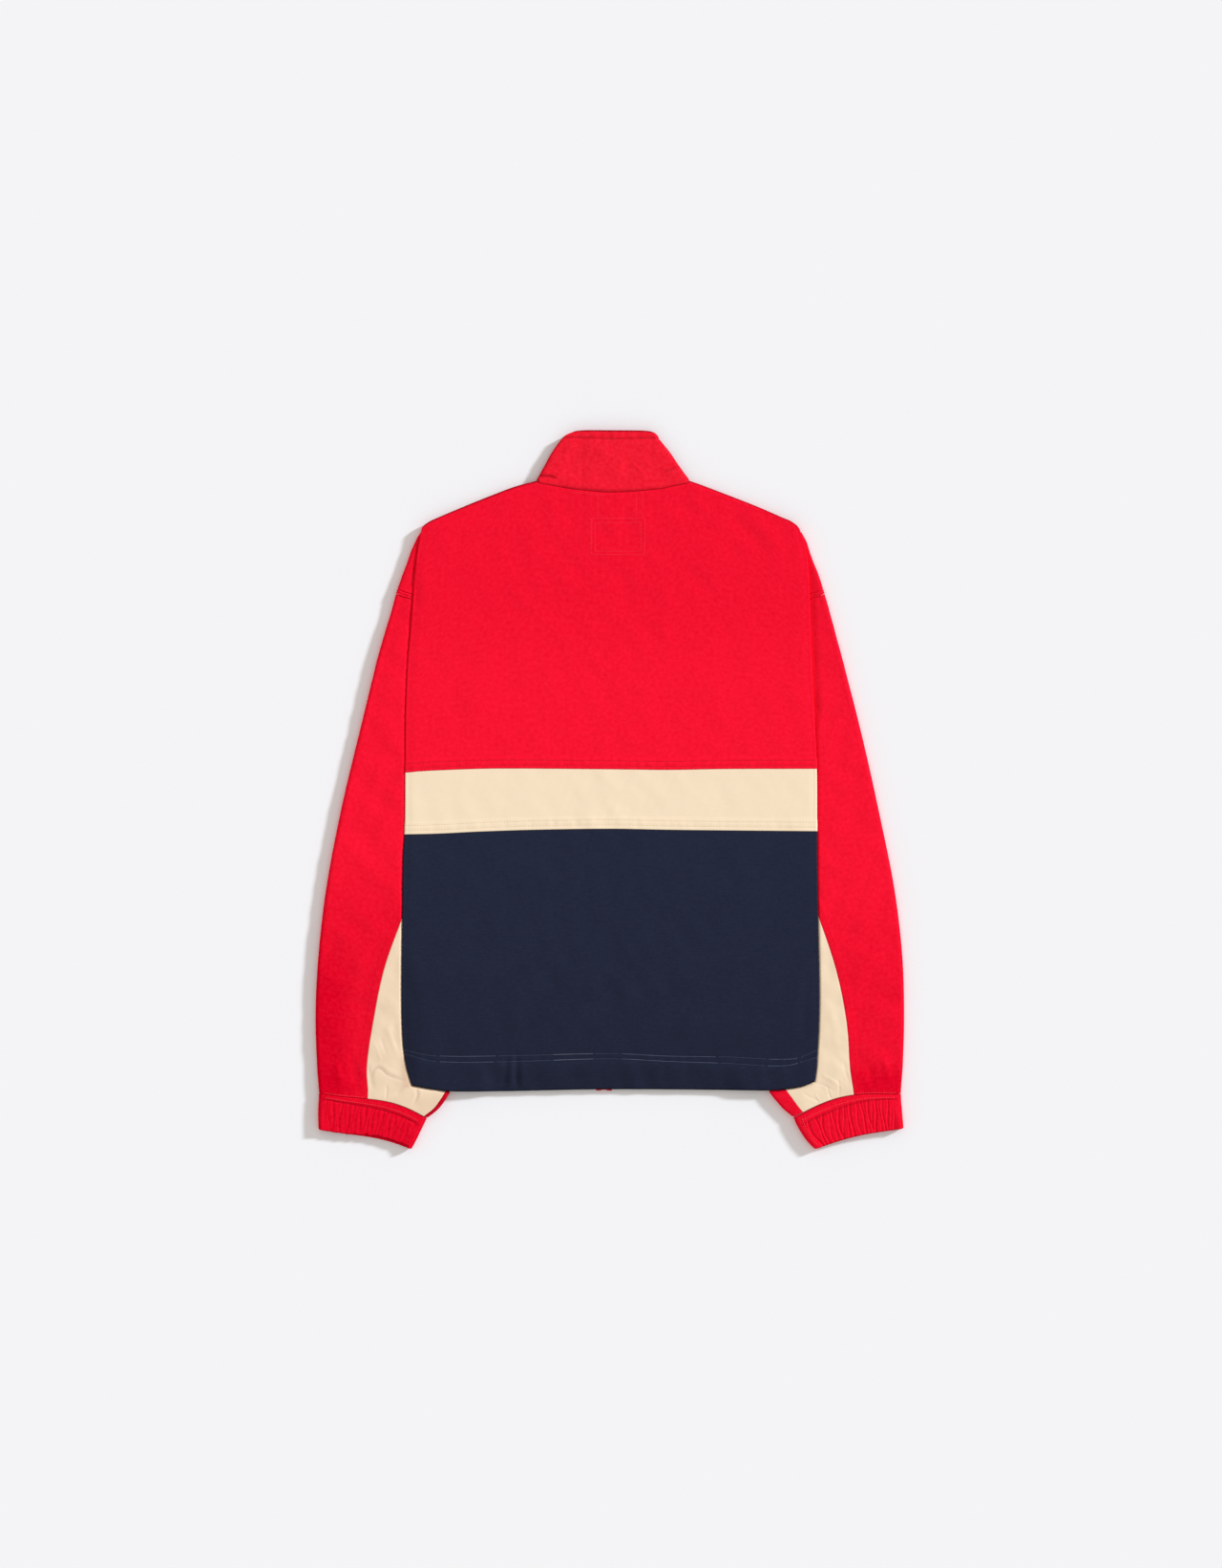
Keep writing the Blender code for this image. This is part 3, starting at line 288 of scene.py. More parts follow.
def ripple(s, seed, short, long):
    """Irregular waves along a line, about -1 to 1."""
    rng = np.random.default_rng(seed)
    total = np.zeros(np.shape(s))
    for _ in range(6):
        length = lerp(short, long, rng.random())
        total = total + np.sin(s * 2 * math.pi / length + rng.random() * 6.3)
    return total / 2.4


def roll(distance, radius):
    """How far a surface drops where it rolls over an edge."""
    d = np.clip(radius - distance, 0.0, radius)
    return radius - np.sqrt(np.maximum(radius * radius - d * d, 0.0))


def plateau(distance, width, height, fall=2.6):
    """A seam allowance, raised beside its seam."""
    return height * (1.0 - smooth((distance - width) / fall))


def groove(distance, at, depth, width=0.9):
    return -depth * bell(distance - at, width)


def creases(x, y, table):
    """Creases as troughs (depth below 0) and ridges, each with its own line."""
    total = np.zeros(np.shape(x))
    for x0, y0, x1, y1, bow, width, depth in table:
        dx = x1 - x0
        dy = y1 - y0
        length = math.hypot(dx, dy)
        t = ((x - x0) * dx + (y - y0) * dy) / length ** 2
        d = ((y - y0) * dx - (x - x0) * dy) / length
        near = (t > 0) & (t < 1) & (np.abs(d) < 4 * width + abs(bow))
        d = d - bow * 4 * t * (1 - t)
        fade = smooth(t / 0.3) * smooth((1 - t) / 0.3)
        total = total + np.where(near, depth * bell(d, width) * fade, 0)
    return total


def sharp_creases(x, y, table):
    """Narrow creases, each along a line of points and shallow at its ends."""
    total = np.zeros(np.shape(x))
    for points, width, depth in table:
        p = np.array(points, float)
        steps = np.diff(p, axis=0)
        lengths = np.hypot(steps[:, 0], steps[:, 1])
        before = np.concatenate([[0.0], np.cumsum(lengths)])
        nearest = np.full(np.shape(x), 1e3 * FAR)
        run = np.zeros(np.shape(x))
        for k in range(len(steps)):
            t = ((x - p[k, 0]) * steps[k, 0] + (y - p[k, 1]) * steps[k, 1]) / lengths[k] ** 2
            t = np.clip(t, 0.0, 1.0)
            d = np.hypot(x - p[k, 0] - t * steps[k, 0], y - p[k, 1] - t * steps[k, 1])
            run = np.where(d < nearest, before[k] + t * lengths[k], run)
            nearest = np.minimum(d, nearest)
        share = run / before[-1]
        fade = smooth(share / 0.25) * smooth((1.0 - share) / 0.25)
        total = total + depth * bell(nearest, width) * fade
    return total


# each crease: start x and y, end x and y, bow, width, depth (troughs below 0)
BODY_CREASES = [
    (-216, 196, -214, 232, 1.0, 5.0, -0.7), (-205, 215, -208, 262, 2.0, 7.0, 0.35),
    (-196, 268, -150, 300, 4.0, 9.0, 0.35), (-178, 262, -120, 312, 5.0, 9.0, -0.30),
    (190, 262, 150, 300, -4.0, 9.0, 0.35), (175, 255, 118, 310, -5.0, 9.0, -0.30),
    (-60, 318, -120, 300, 4.0, 8.0, -0.30), (66, 318, 122, 300, -4.0, 8.0, -0.30),
    (-150, 60, -120, 180, 8.0, 14.0, 0.25), (120, 60, 96, 190, -8.0, 14.0, 0.25),
    (-40, 250, 30, 246, 3.0, 12.0, -0.2), (-117, -334, -112, -290, 1.0, 2.4, -0.8),
    (-109, -334, -106, -288, 1.0, 2.8, 0.9), (-102, -336, -103, -284, 1.0, 2.0, -1.3),
    (-94, -334, -96, -294, 1.0, 3.0, 0.6), (-140, -326, -137, -302, 1.0, 4.0, 0.5),
    (60, -328, 62, -302, 1.0, 4.0, -0.4), (170, -330, 166, -304, 1.0, 4.5, 0.4),
    (-222, -200, -214, -290, 3.0, 6.0, -0.5), (222, -190, 216, -286, -3.0, 6.0, -0.5),
    (-150, -70, -132, -200, 6.0, 16.0, 0.3), (140, -80, 128, -230, -6.0, 16.0, 0.3),
    (-20, -90, -8, -250, 5.0, 18.0, -0.3),
]
COLLAR_CREASES = [
    (-74, 347.5, -58, 352.5, 1.0, 2.0, 0.6), (-30, 352, -5, 374, 3.0, 6.0, -0.35),
    (5, 350, 22, 382, -3.0, 6.0, 0.3), (-52, 362, -38, 384, 1.5, 4.0, 0.3),
    (44, 362, 48, 386, 1.5, 4.0, -0.3),
]
SLEEVE_CREASES = [
    (-250, -258, -232, -300, 2.0, 4.0, 0.3), (-240, -250, -230, -290, -1.5, 3.6, -0.3),
    (-270, -300, -262, -334, 1.0, 3.0, -0.5), (-306, -296, -296, -332, 1.5, 4.0, 0.5),
    (-288, -286, -280, -330, 1.0, 4.5, -0.5), (-314, -150, -268, -210, 5.0, 11.0, 0.45),
    (-306, -210, -262, -262, 5.0, 10.0, -0.45), (-300, -60, -250, -110, 4.0, 12.0, 0.4),
    (-288, 20, -240, -30, 4.0, 12.0, -0.35), (-262, 90, -232, 40, 3.0, 10.0, 0.35),
    (230, -310, 268, -330, -2.0, 3.0, 0.3), (246, -296, 272, -318, 2.0, 3.6, -0.25),
    (240, -230, 252, -290, 2.0, 5.0, 0.3), (236, -150, 244, -220, 2.0, 5.0, -0.28),
    (300, -290, 310, -332, 1.5, 4.0, 0.5), (284, -300, 292, -334, 1.0, 3.6, -0.5),
    (318, -160, 270, -214, -5.0, 11.0, 0.4), (308, -220, 264, -262, -5.0, 10.0, -0.45),
    (298, -60, 252, -104, -4.0, 12.0, 0.4), (284, 30, 242, -16, -4.0, 12.0, -0.35),
    (258, 100, 236, 50, -3.0, 10.0, 0.3), (-232.5, 200, -226, 224, 1.0, 2.6, -0.4),
    (232.5, 200, 228, 222, -1.0, 2.6, -0.4),
]
# each narrow crease: its points, width, depth
SHARP_CREASES = [
    ([(-263, -319), (-262.2, -313), (-260, -308.4), (-256, -306.8), (-251.9, -308.9),
      (-246.7, -314.2), (-238.2, -317.6), (-224, -320.8)], 1.0, -0.60),
    ([(-258, -304), (-250, -305), (-243, -311), (-232, -314.6)], 1.5, 0.25),
    ([(-247, -325), (-246.6, -333), (-247.4, -343)], 0.9, -0.40),
    ([(-237, -336), (-233, -333.5), (-228.5, -331.2)], 0.9, -0.45),
    ([(-218, -325), (-213.5, -332), (-213, -338), (-217.5, -348)], 1.3, -0.50),
    ([(-214, -324), (-209, -334), (-210, -344)], 1.4, 0.2),
    ([(-254, -272), (-250, -284), (-246, -294)], 1.5, -0.28),
    ([(-243, -262), (-238, -276), (-233, -292)], 1.6, -0.26),
    ([(-262, -276), (-256, -290), (-253, -302)], 1.4, 0.2),
    ([(222, -322), (236, -326), (250, -334)], 1.1, -0.32),
    ([(234, -312), (246, -318), (262, -330)], 1.2, -0.28),
    ([(212, -334), (222, -340), (236, -346)], 1.1, -0.35),
    ([(226, -334), (232, -344), (235, -350)], 1.0, 0.2),
    ([(240, -326), (242, -336), (246, -344)], 1.0, -0.28),
    ([(252, -318), (254, -330), (253, -341)], 1.1, -0.28),
    ([(258, -300), (261, -314), (266, -326)], 1.2, -0.22),
]


def up(normals):
    """1 on level cloth that faces up, fading to 0 where it turns over."""
    return smooth((normals[..., 2] - 0.1) / 0.7)


def body_relief(x, y):
    inside = np.minimum(x - side_x(True, y), side_x(False, y) - x)
    edge = -0.35 * (1.0 - smooth((inside - 2.0) / 7.0)) * over_sleeves(x, y)
    soft = waves(x, y, 11, 34, 24.0, 90.0, 0.13) + waves(x, y, 12, 24, 9.0, 20.0, 0.03)
    quiet = 1.0 - 0.5 * over_sleeves(x, y)
    return soft * quiet + creases(x, y, BODY_CREASES) + edge


FLAT_TOP = 9.1       # height of the body's upper cloth, and how far it may leave its solid
SETTLE_DOWN = -1.7
SETTLE_UP = 1.3


def settle(z):
    """How far the upper cloth of the body lies from its solid, which is more uneven."""
    return np.clip(FLAT_TOP - z, SETTLE_DOWN, SETTLE_UP)


def under_relief(x, y):
    """Unevenness of the cloth that lies on the floor; never below it."""
    soft = waves(x, y, 21, 26, 26.0, 90.0, 0.16)
    return np.minimum(soft - 0.25, 0.0)


def sleeve_relief(x, y):
    outside = outside_body(x, y)
    valley = np.where(x > 0, smooth((y - 60.0) / 30.0), 0.0)
    beside = np.where(x > 0, lerp(7.7, 6.9, valley), lerp(8.2, 7.3, smooth((y - 140.0) / 60.0)))
    ramp = lerp(2.6, 10.0, valley)
    level = lerp(4.6, beside, smooth((outside + 1.0) / ramp))
    level = lerp(level, LOFT, smooth((outside - 12.0) / 40.0))
    rise = np.maximum(level - sleeve_height(x, y), 0.0)
    soft = waves(x, y, 31, 34, 22.0, 80.0, 0.18) + waves(x, y, 32, 20, 9.0, 18.0, 0.03)
    soft = soft + creases(x, y, SLEEVE_CREASES)
    sharp = sharp_creases(x, y, SHARP_CREASES) * smooth((outside - 1.0) / 3.0)
    return soft * smooth((outside + 1.0) / 9.0) + sharp + rise


COLLAR_LINES = [
    ([(-80, 345.6), (-74, 346.8), (-66, 346.2), (-58, 344.2)], 1.2, -0.95),
    ([(56, 349.5), (64, 352.2), (71, 356.0), (77, 360.5)], 1.0, -0.55),
    ([(24, 361.5), (30, 356.5), (36, 349.5), (40, 344.0)], 1.2, 0.40),
    ([(27, 363.0), (33, 357.5), (39, 350.5)], 1.2, -0.25),
]

# Lines of painted shade along creases, on the collar and on the left sleeve's cream panel.
COLLAR_CREASE_PAINTED_SHADE = [
    ([(-81, 345.8), (-74, 346.8), (-66, 346.2), (-56, 344.0)], 1.4, 0.42),
    ([(56, 349.5), (64, 352.2), (71, 356.0), (77, 360.5)], 1.2, 0.20),
]
PANEL_CREASE_PAINTED_SHADE = [
    ([(-263.5, -324), (-262.2, -313), (-260, -308.4), (-256, -306.8), (-251.9, -308.9),
      (-246.7, -314.2), (-238.2, -317.6), (-222, -321.4)], 1.0, 0.20),
]


def lit_edge(outer, inner):
    """How far a fold's outer face looks to the right, towards the light, where painted shade
    darkens its rim.
    """
    normal = normals_of(outer, inner)
    return smooth((normal[..., 0] - 0.25) / 0.5) * smooth((normal[..., 2] + 0.7) / 0.4)


def collar_relief(x, y):
    soft = waves(x, y, 41, 24, 12.0, 46.0, 0.14)
    return soft + creases(x, y, COLLAR_CREASES) + sharp_creases(x, y, COLLAR_LINES)


# ---------------------------------------------------------------- meshes
def normals_of(outer, inner):
    away = outer - inner
    return away / np.linalg.norm(away, axis=-1, keepdims=True)


def new_object(name, mesh, material, rounded=True):
    if rounded:
        mesh.polygons.foreach_set("use_smooth", np.ones(len(mesh.polygons), bool))
    mesh.materials.append(material)
    item = bpy.data.objects.new(name, mesh)
    bpy.context.scene.collection.objects.link(item)
    return item


def plain_object(name, verts, faces, material, rounded=False):
    mesh = bpy.data.meshes.new(name)
    mesh.from_pydata(verts, [], faces)
    return new_object(name, mesh, material, rounded)


def run_lengths(points, axis):
    steps = np.linalg.norm(np.diff(points, axis=axis), axis=-1)
    total = np.cumsum(steps, axis=axis)
    start = np.zeros_like(np.take(total, [0], axis=axis))
    return np.concatenate([start, total], axis=axis)


def painted_shade_at(x, y):
    """Painted shade, 0 to 1: how far the cloth's colour is deepened towards its hem and cuffs,
    where the light falls off, and on the left sleeve's outer side and the body's lower left edge,
    which lie away from the light.
    """
    body = 0.5 * smooth((-25.0 - y) / 300.0) + 0.17 * smooth((y - 110.0) / 110.0)
    body = body + 0.5 * (1.0 - smooth((x + 221.0) / 16.0)) * smooth((-160.0 - y) / 70.0)
    outer = smooth((np.abs(x) - 272.0) / 36.0) * smooth((-150.0 - y) / 80.0)
    by_cuff = smooth((-296.0 - y) / 26.0) * (1.0 - smooth((-332.0 - y) / 8.0))
    by_cuff = by_cuff * smooth((np.abs(x) - 255.0) / 25.0)
    left = lerp(0.36, 0.84, outer) * smooth((-60.0 - y) / 100.0) + 0.12 * by_cuff
    right = 0.27 * smooth((-100.0 - y) / 110.0) + 0.5 * by_cuff
    at_cuff = smooth((-336.0 - y) / 10.0)
    sleeve = np.where(x < 0, lerp(left, 0.58, at_cuff), lerp(right, 0.27, at_cuff))
    low_body = smooth((y + 60.0) / 60.0)
    beside = smooth((np.abs(x) - 225.0) / 8.0)
    outside = np.maximum(beside, smooth((hem_y(x) - 1.0 - y) / 3.0))
    return lerp(body, sleeve, outside * (1.0 - low_body))


WELDS_PER_MM = 500     # points closer than a step of this grid are one
CLOTH_FLOOR = 0.05     # nothing lies lower than these above the floor
THREAD_FLOOR = 0.03


class Cloth:
    """A wall of cloth made of grids of points that share their borders."""

    def __init__(self):
        self.plain = []
        self.outer = []
        self.inner = []
        self.uv = []
        self.dark = []       # painted shade: how much darker than its colour each point of the cloth is painted
        self.quads = []
        self.count = 0
        self.area = 0.0

    def add(self, plain, inner, lift, thin=0.0, uv_origin=(0.0, 0.0), flip=False, dark=0.0):
        rows, columns = plain.shape[:2]
        normal = normals_of(plain, inner)
        lift = np.broadcast_to(lift, (rows, columns))
        thin = np.broadcast_to(thin, (rows, columns))
        across = run_lengths(plain, 1)
        middle = columns // 2
        across = across - across[:, middle:middle + 1]
        upwards = run_lengths(plain[:, middle:middle + 1], 0)
        uv = np.stack([across + uv_origin[0],
                       np.broadcast_to(upwards, across.shape) + uv_origin[1]], axis=-1)
        index = self.count + np.arange(rows * columns).reshape(rows, columns)
        quads = np.stack([index[:-1, :-1], index[:-1, 1:], index[1:, 1:], index[1:, :-1]],
                         axis=-1).reshape(-1, 4)
        if flip:
            quads = quads[:, ::-1]
        self.plain.append(plain.reshape(-1, 3))
        self.outer.append((plain + normal * lift[..., None]).reshape(-1, 3))
        self.inner.append((inner + normal * thin[..., None]).reshape(-1, 3))
        self.uv.append(uv.reshape(-1, 2))
        self.dark.append(np.broadcast_to(dark, (rows, columns)).reshape(-1))
        self.quads.append(quads)
        self.count += rows * columns
        a = plain[:-1, 1:] - plain[:-1, :-1]
        b = plain[1:, :-1] - plain[:-1, :-1]
        self.area += float(np.linalg.norm(np.cross(a, b), axis=-1).sum()) * 1e-6

    def build(self, name, material):
        plain = np.concatenate(self.plain)
        quads = np.concatenate(self.quads)
        uv = np.concatenate(self.uv) * MM
        keys = np.round(plain * WELDS_PER_MM).astype(np.int64)
        _, first, place = np.unique(keys, axis=0, return_index=True, return_inverse=True)
        place = place.reshape(-1)
        outer = np.concatenate(self.outer)[first]
        inner = np.concatenate(self.inner)[first]
        n = len(outer)
        welded = place[quads]
        sound = np.ones(len(welded), bool)
        for k in range(4):
            sound &= welded[:, k] != welded[:, (k + 1) % 4]
        welded = welded[sound]
        corners = quads[sound]
        starts = welded.reshape(-1)
        ends = np.roll(welded, -1, axis=1).reshape(-1)
        ahead = starts.astype(np.int64) * n + ends
        back = ends.astype(np.int64) * n + starts
        open_edge = ~np.isin(ahead, back)
        a = starts[open_edge]
        b = ends[open_edge]
        start_corner = corners.reshape(-1)[open_edge]
        end_corner = np.roll(corners, -1, axis=1).reshape(-1)[open_edge]
        faces = np.concatenate([welded, welded[:, ::-1] + n,
                                np.stack([b, a, a + n, b + n], axis=-1)])
        face_uv = np.concatenate([uv[corners], uv[corners[:, ::-1]],
                                  uv[np.stack([end_corner, start_corner, start_corner,
                                               end_corner], axis=-1)]])
        mesh = bpy.data.meshes.new(name)
        points = np.concatenate([outer, inner])
        points[:, 2] = np.maximum(points[:, 2], CLOTH_FLOOR)
        dark = np.tile(np.concatenate(self.dark)[first], 2)
        # The point attribute "tone" holds painted shade: first the deepening towards the hem and
        # cuffs, then the darkening where edges turn over, along seams and stitching, in creases and
        # on rims that look towards the light.
        rgba = np.ones((len(points), 4))
        rgba[:, 0] = painted_shade_at(points[:, 0], points[:, 1])
        rgba[:, 1] = dark
        points = points * MM
        mesh.vertices.add(len(points))
        mesh.vertices.foreach_set("co", points.reshape(-1))
        mesh.loops.add(faces.size)
        mesh.loops.foreach_set("vertex_index", faces.reshape(-1))
        mesh.polygons.add(len(faces))
        mesh.polygons.foreach_set("loop_start", np.arange(0, faces.size, 4))
        mesh.polygons.foreach_set("loop_total", np.full(len(faces), 4))
        mesh.update(calc_edges=True)
        layer = mesh.uv_layers.new(name="cloth")
        layer.data.foreach_set("uv", face_uv.reshape(-1).astype(np.float32))
        shade = mesh.color_attributes.new(name="tone", type="FLOAT_COLOR", domain="POINT")
        shade.data.foreach_set("color", rgba.reshape(-1).astype(np.float32))
        mesh.validate()
        bm = bmesh.new()
        bm.from_mesh(mesh)
        bmesh.ops.recalc_face_normals(bm, faces=bm.faces)
        bm.to_mesh(mesh)
        bm.free()
        return new_object(name, mesh, material)


# ---------------------------------------------------------------- materials
class Look:
    """A material, and short ways to add nodes to its tree."""

    def __init__(self, name):
        self.material = bpy.data.materials.new(name)
        self.material.use_nodes = True
        self.tree = self.material.node_tree
        self.shader = self.tree.nodes["Principled BSDF"]

    def fill(self, target, inputs):
        """Sets a node's inputs, or links them where another node's output is given."""
        for key, value in inputs.items():
            if isinstance(value, bpy.types.NodeSocket):
                self.tree.links.new(value, target.inputs[key])
            else:
                target.inputs[key].default_value = value

    def node(self, kind, inputs=None, output=0, **settings):
        made = self.tree.nodes.new("ShaderNode" + kind)
        for key, value in settings.items():
            setattr(made, key, value)
        self.fill(made, inputs or {})
        return made.outputs[output]

    def noise(self, source, scale, detail=2.0):
        inputs = {"Scale": scale, "Detail": detail, "Vector": source}
        return self.node("TexNoise", inputs, "Fac")

    def math(self, operation, *values):
        return self.node("Math", dict(enumerate(values)), operation=operation)

    def scaled(self, vector, share):
        return self.node("VectorMath", {0: vector, "Scale": share}, operation="SCALE")

    def added(self, first, second):
        return self.node("VectorMath", {0: first, 1: second}, operation="ADD")

    def finish(self, colour, tone, height, strength, distance, rest):
        """Colour times tone, a fine relief from the height, and plain values."""
        bump = self.node("Bump", {"Strength": strength, "Distance": distance, "Height": height})
        self.fill(self.shader, {"Base Color": self.scaled(colour, tone), "Normal": bump, **rest})
        return self.material


def weave_height(look, source, pitch):
    """Threads going over and under each other, 0 to 1, on a cloth's own plane."""
    split = look.node("SeparateXYZ", {0: source}).node.outputs
    turn = math.pi / pitch
    a, b = (look.math("SINE", look.math("MULTIPLY", split[k], turn)) for k in (0, 1))
    return look.math("MULTIPLY_ADD", look.math("MULTIPLY", a, b), 0.5)


SOFT, PATCH, FINE = 34.0, 230.0, 620.0     # scales of the cloth's unevenness
SLUB = (60.0, 900.0, 1.0)                  # thick places along the threads


def cloth_material(name, colour, deep=None, pitch=0.00052, mottle=0.07, grain=0.12,
                   relief=0.00009, specular=0.03, fleck=None):
    """Woven cloth; its colour runs to the deep one, and darkens, where the point attribute "tone"
    paints shade.
    """
    look = Look(name)
    place = look.node("UVMap", uv_map="cloth")
    soft = look.noise(place, SOFT, 3.0)
    fine = look.noise(place, FINE)
    patch = look.noise(place, PATCH)
    slub = look.noise(look.node("Mapping", {"Scale": SLUB, "Vector": place}), 1.0)
    weave = weave_height(look, place, pitch)
    tone = look.math("MULTIPLY_ADD", look.math("SUBTRACT", soft, 0.5), mottle, 1.0)
    for source, middle, amount in ((fine, 0.5, grain), (slub, 0.5, grain * 0.8),
                                   (weave, 0.25, grain * 0.5), (patch, 0.5, mottle * 1.5)):
        off = look.math("SUBTRACT", source, middle)
        tone = look.math("ADD", tone, look.math("MULTIPLY", off, amount))
    if deep:
        # painted shade from the point attribute "tone": its first channel runs the colour to the
        # deep one, its second darkens the tone
        shade = look.node("VertexColor", layer_name="tone")
        depth, dark = look.node("SeparateColor", {0: shade}).node.outputs[:2]
        step = [b - a for a, b in zip(colour, deep)]
        colour = look.added(colour, look.scaled(step, depth))
        if fleck:
            colour = look.added(colour, look.scaled(fleck, look.math("SUBTRACT", patch, 0.5)))
        tone = look.math("MULTIPLY", tone, look.math("SUBTRACT", 1.0, dark))
    height = look.math("ADD", look.math("MULTIPLY", weave, 0.6), look.math("MULTIPLY", fine, 0.9))
    height = look.math("ADD", height, look.math("MULTIPLY", slub, 0.7))
    return look.finish(colour, tone, height, 0.6, relief,
                       {"Roughness": 0.9, "Specular IOR Level": specular})


def thread_material(name, colour):
    """Twisted sewing thread."""
    look = Look(name)
    spun = look.noise(look.node("TexCoord", output="Object"), 2600.0, 1.0)
    tone = look.math("MULTIPLY_ADD", spun, 0.35, 0.82)
    return look.finish(colour, tone, spun, 0.5, 0.00005,
                       {"Roughness": 0.62, "Specular IOR Level": 0.15, "Sheen Weight": 0.1})


def hard_material(name, colour, roughness, metallic, scratch):
    """Moulded plastic or coated metal, with faint handling marks."""
    look = Look(name)
    place = look.node("TexCoord", output="Object")
    tone = look.math("MULTIPLY_ADD", look.noise(place, 420.0, 3.0), 0.3, 0.85)
    marks = look.noise(place, 2200.0)
    rough = look.math("MULTIPLY_ADD", marks, scratch, roughness - scratch / 2)
    return look.finish(colour, tone, marks, 0.4, 0.00003, {
        "Roughness": rough, "Metallic": metallic, "Specular IOR Level": 0.4})


# Each cloth's second colour is its colour in painted shade.
RED_IN_PAINTED_SHADE = (0.665, 0.0004, 0.0150)
red_cloth = cloth_material("red_cloth", (0.910, 0.0075, 0.0305), RED_IN_PAINTED_SHADE, specular=0.005,
                           fleck=(0.06, 0.010, 0.022))
collar_cloth_red = cloth_material("collar_cloth", (0.895, 0.0135, 0.0338), RED_IN_PAINTED_SHADE,
                                  specular=0.005, fleck=(0.10, 0.020, 0.035))
cream_cloth = cloth_material("cream_cloth", (0.905, 0.735, 0.535), (0.75, 0.530, 0.375),
                             mottle=0.012, grain=0.03)
navy_cloth = cloth_material("navy_cloth", (0.0155, 0.0196, 0.0412), (0.0121, 0.0150, 0.0311),
                            mottle=0.22, grain=0.40, specular=0.05)
tape_cloth = cloth_material("zip_tape_cloth", (0.60, 0.0060, 0.0240), pitch=0.0009,
                            relief=0.0002, mottle=0.02, grain=0.16)
# The red threads are painted darker than the red cloth, whose colour they share, for the shade
# where the stitches sink in; the second one more so.
red_thread = thread_material("red_thread", (0.560, 0.0050, 0.0190))
shaded_red_stitching = thread_material("red_stitching_painted_shade", (0.420, 0.0030, 0.0140))
light_thread = thread_material("light_red_thread", (0.93, 0.050, 0.080))
cuff_thread = thread_material("cuff_thread", (0.95, 0.100, 0.125))
cream_thread = thread_material("cream_thread", (0.80, 0.600, 0.420))
# Three painted copies of the hem's one thread, lit, half lit and in shade; each stretch of the hem
# takes the one that fits how the light falls there.
lower_thread_painted_lit = thread_material("lower_thread_painted_lit", (0.330, 0.360, 0.440))
lower_thread_painted_half_lit = thread_material("lower_thread_painted_half_lit", (0.215, 0.255, 0.385))
lower_thread_painted_shade = thread_material("lower_thread_painted_shade", (0.095, 0.113, 0.175))
teeth_plastic = hard_material("zip_plastic", (0.58, 0.0060, 0.0220), 0.38, 0.0, 0.12)
dark_metal = hard_material("zip_metal", (0.115, 0.112, 0.118), 0.33, 1.0, 0.16)

# ---------------------------------------------------------------- plan of the body
Row = namedtuple("Row", "low high a b t")


def row_y(row, x):
    """A row lies t of the way from a above its low curve to b below its high one."""
    return lerp(row.low(x) + row.a, row.high(x) - row.b, row.t)


def rows_between(low, high, low_steps, high_steps, cells, low_gap, high_gap):
    rows = [Row(low, high, low_gap + d, high_gap, 0.0) for d in low_steps]
    a = low_gap + low_steps[-1]
    b = high_gap + high_steps[-1]
    rows += [Row(low, high, a, b, k / cells) for k in range(1, cells)]
    rows += [Row(low, high, low_gap, high_gap + d, 1.0) for d in reversed(high_steps)]
    return rows


def shoulder_y(x, left):
    """A shoulder's edge, which runs on straight past the neck."""
    table = SHOULDER_LEFT if left else SHOULDER_RIGHT
    edge = table[-1 if left else 0]
    past = edge[1] + (0.33 if left else -0.37) * (x - edge[0])
    return np.where((x > edge[0]) if left else (x < edge[0]), past, curve(table)(x))


def shoulder_normal(x, left):
    slope = (shoulder_y(x + 8, left) - shoulder_y(x - 8, left)) / 16
    length = np.hypot(slope, 1.0)
    return -slope / length, 1.0 / length


def neck_fold(left):
    return unit(-0.62 if left else 0.62, 0.78)


def top_row_y(x):
    """Top row of the back yoke: inside the shoulder folds, and along the neck."""
    result = neck_y(x)
    for left in (True, False):
        past = (x <= NECK[0, 0]) if left else (x >= NECK[-1, 0])
        edge = shoulder_y(x, left)
        inset = body_height(x, edge) / 2 / shoulder_normal(x, left)[1]
        result = np.where(past, edge - inset, result)
    return result


def side_tuck(y):
    return lerp(SIDE_TUCK, TIP_TUCK, smooth((y - 150.0) / 125.0))


def shoulder_tuck(x):
    tip = np.minimum(np.abs(x - BODY_SIDES[-1, 1]), np.abs(x - BODY_SIDES[-1, 2]))
    return lerp(TIP_TUCK, SHOULDER_TUCK, smooth(tip / 70.0))


def row_end(row, left, inset):
    x = side_x(left, 0.0)
    sign = 1.0 if left else -1.0
    for _ in range(6):
        y = row_y(row, x)
        x = side_x(left, y) + sign * (inset(y) if callable(inset) else inset)
    return x


def row_ends(row):
    """Where a row of the back turns down over its left and its right side."""
    return [row_end(row, left, PRESSED_BODY / 2) for left in (True, False)]


# ---------------------------------------------------------------- folds of the body
ARC = 10
ANGLES = np.pi * np.arange(1, ARC + 1) / ARC
SIDE_PARTS = np.array([0.12, 0.25, 0.38, 0.5, 0.62, 0.75, 0.87, 0.95, 1.0])
TOP_PARTS = np.array([0.2, 0.4, 0.6, 0.8, 0.93, 1.0])
TIP_REACH = {True: 0.95, False: 0.72}      # of the left and right shoulder tips' folds
TIP_TURN = 10.0                            # how near to a tip its folds turn
NECK_REACH = 1.04                          # of the folds beside the neck
NECK_HOLD = 19.0
EDGE_ROLL = (-0.12, -0.55)                 # the last two points of a tuck roll under


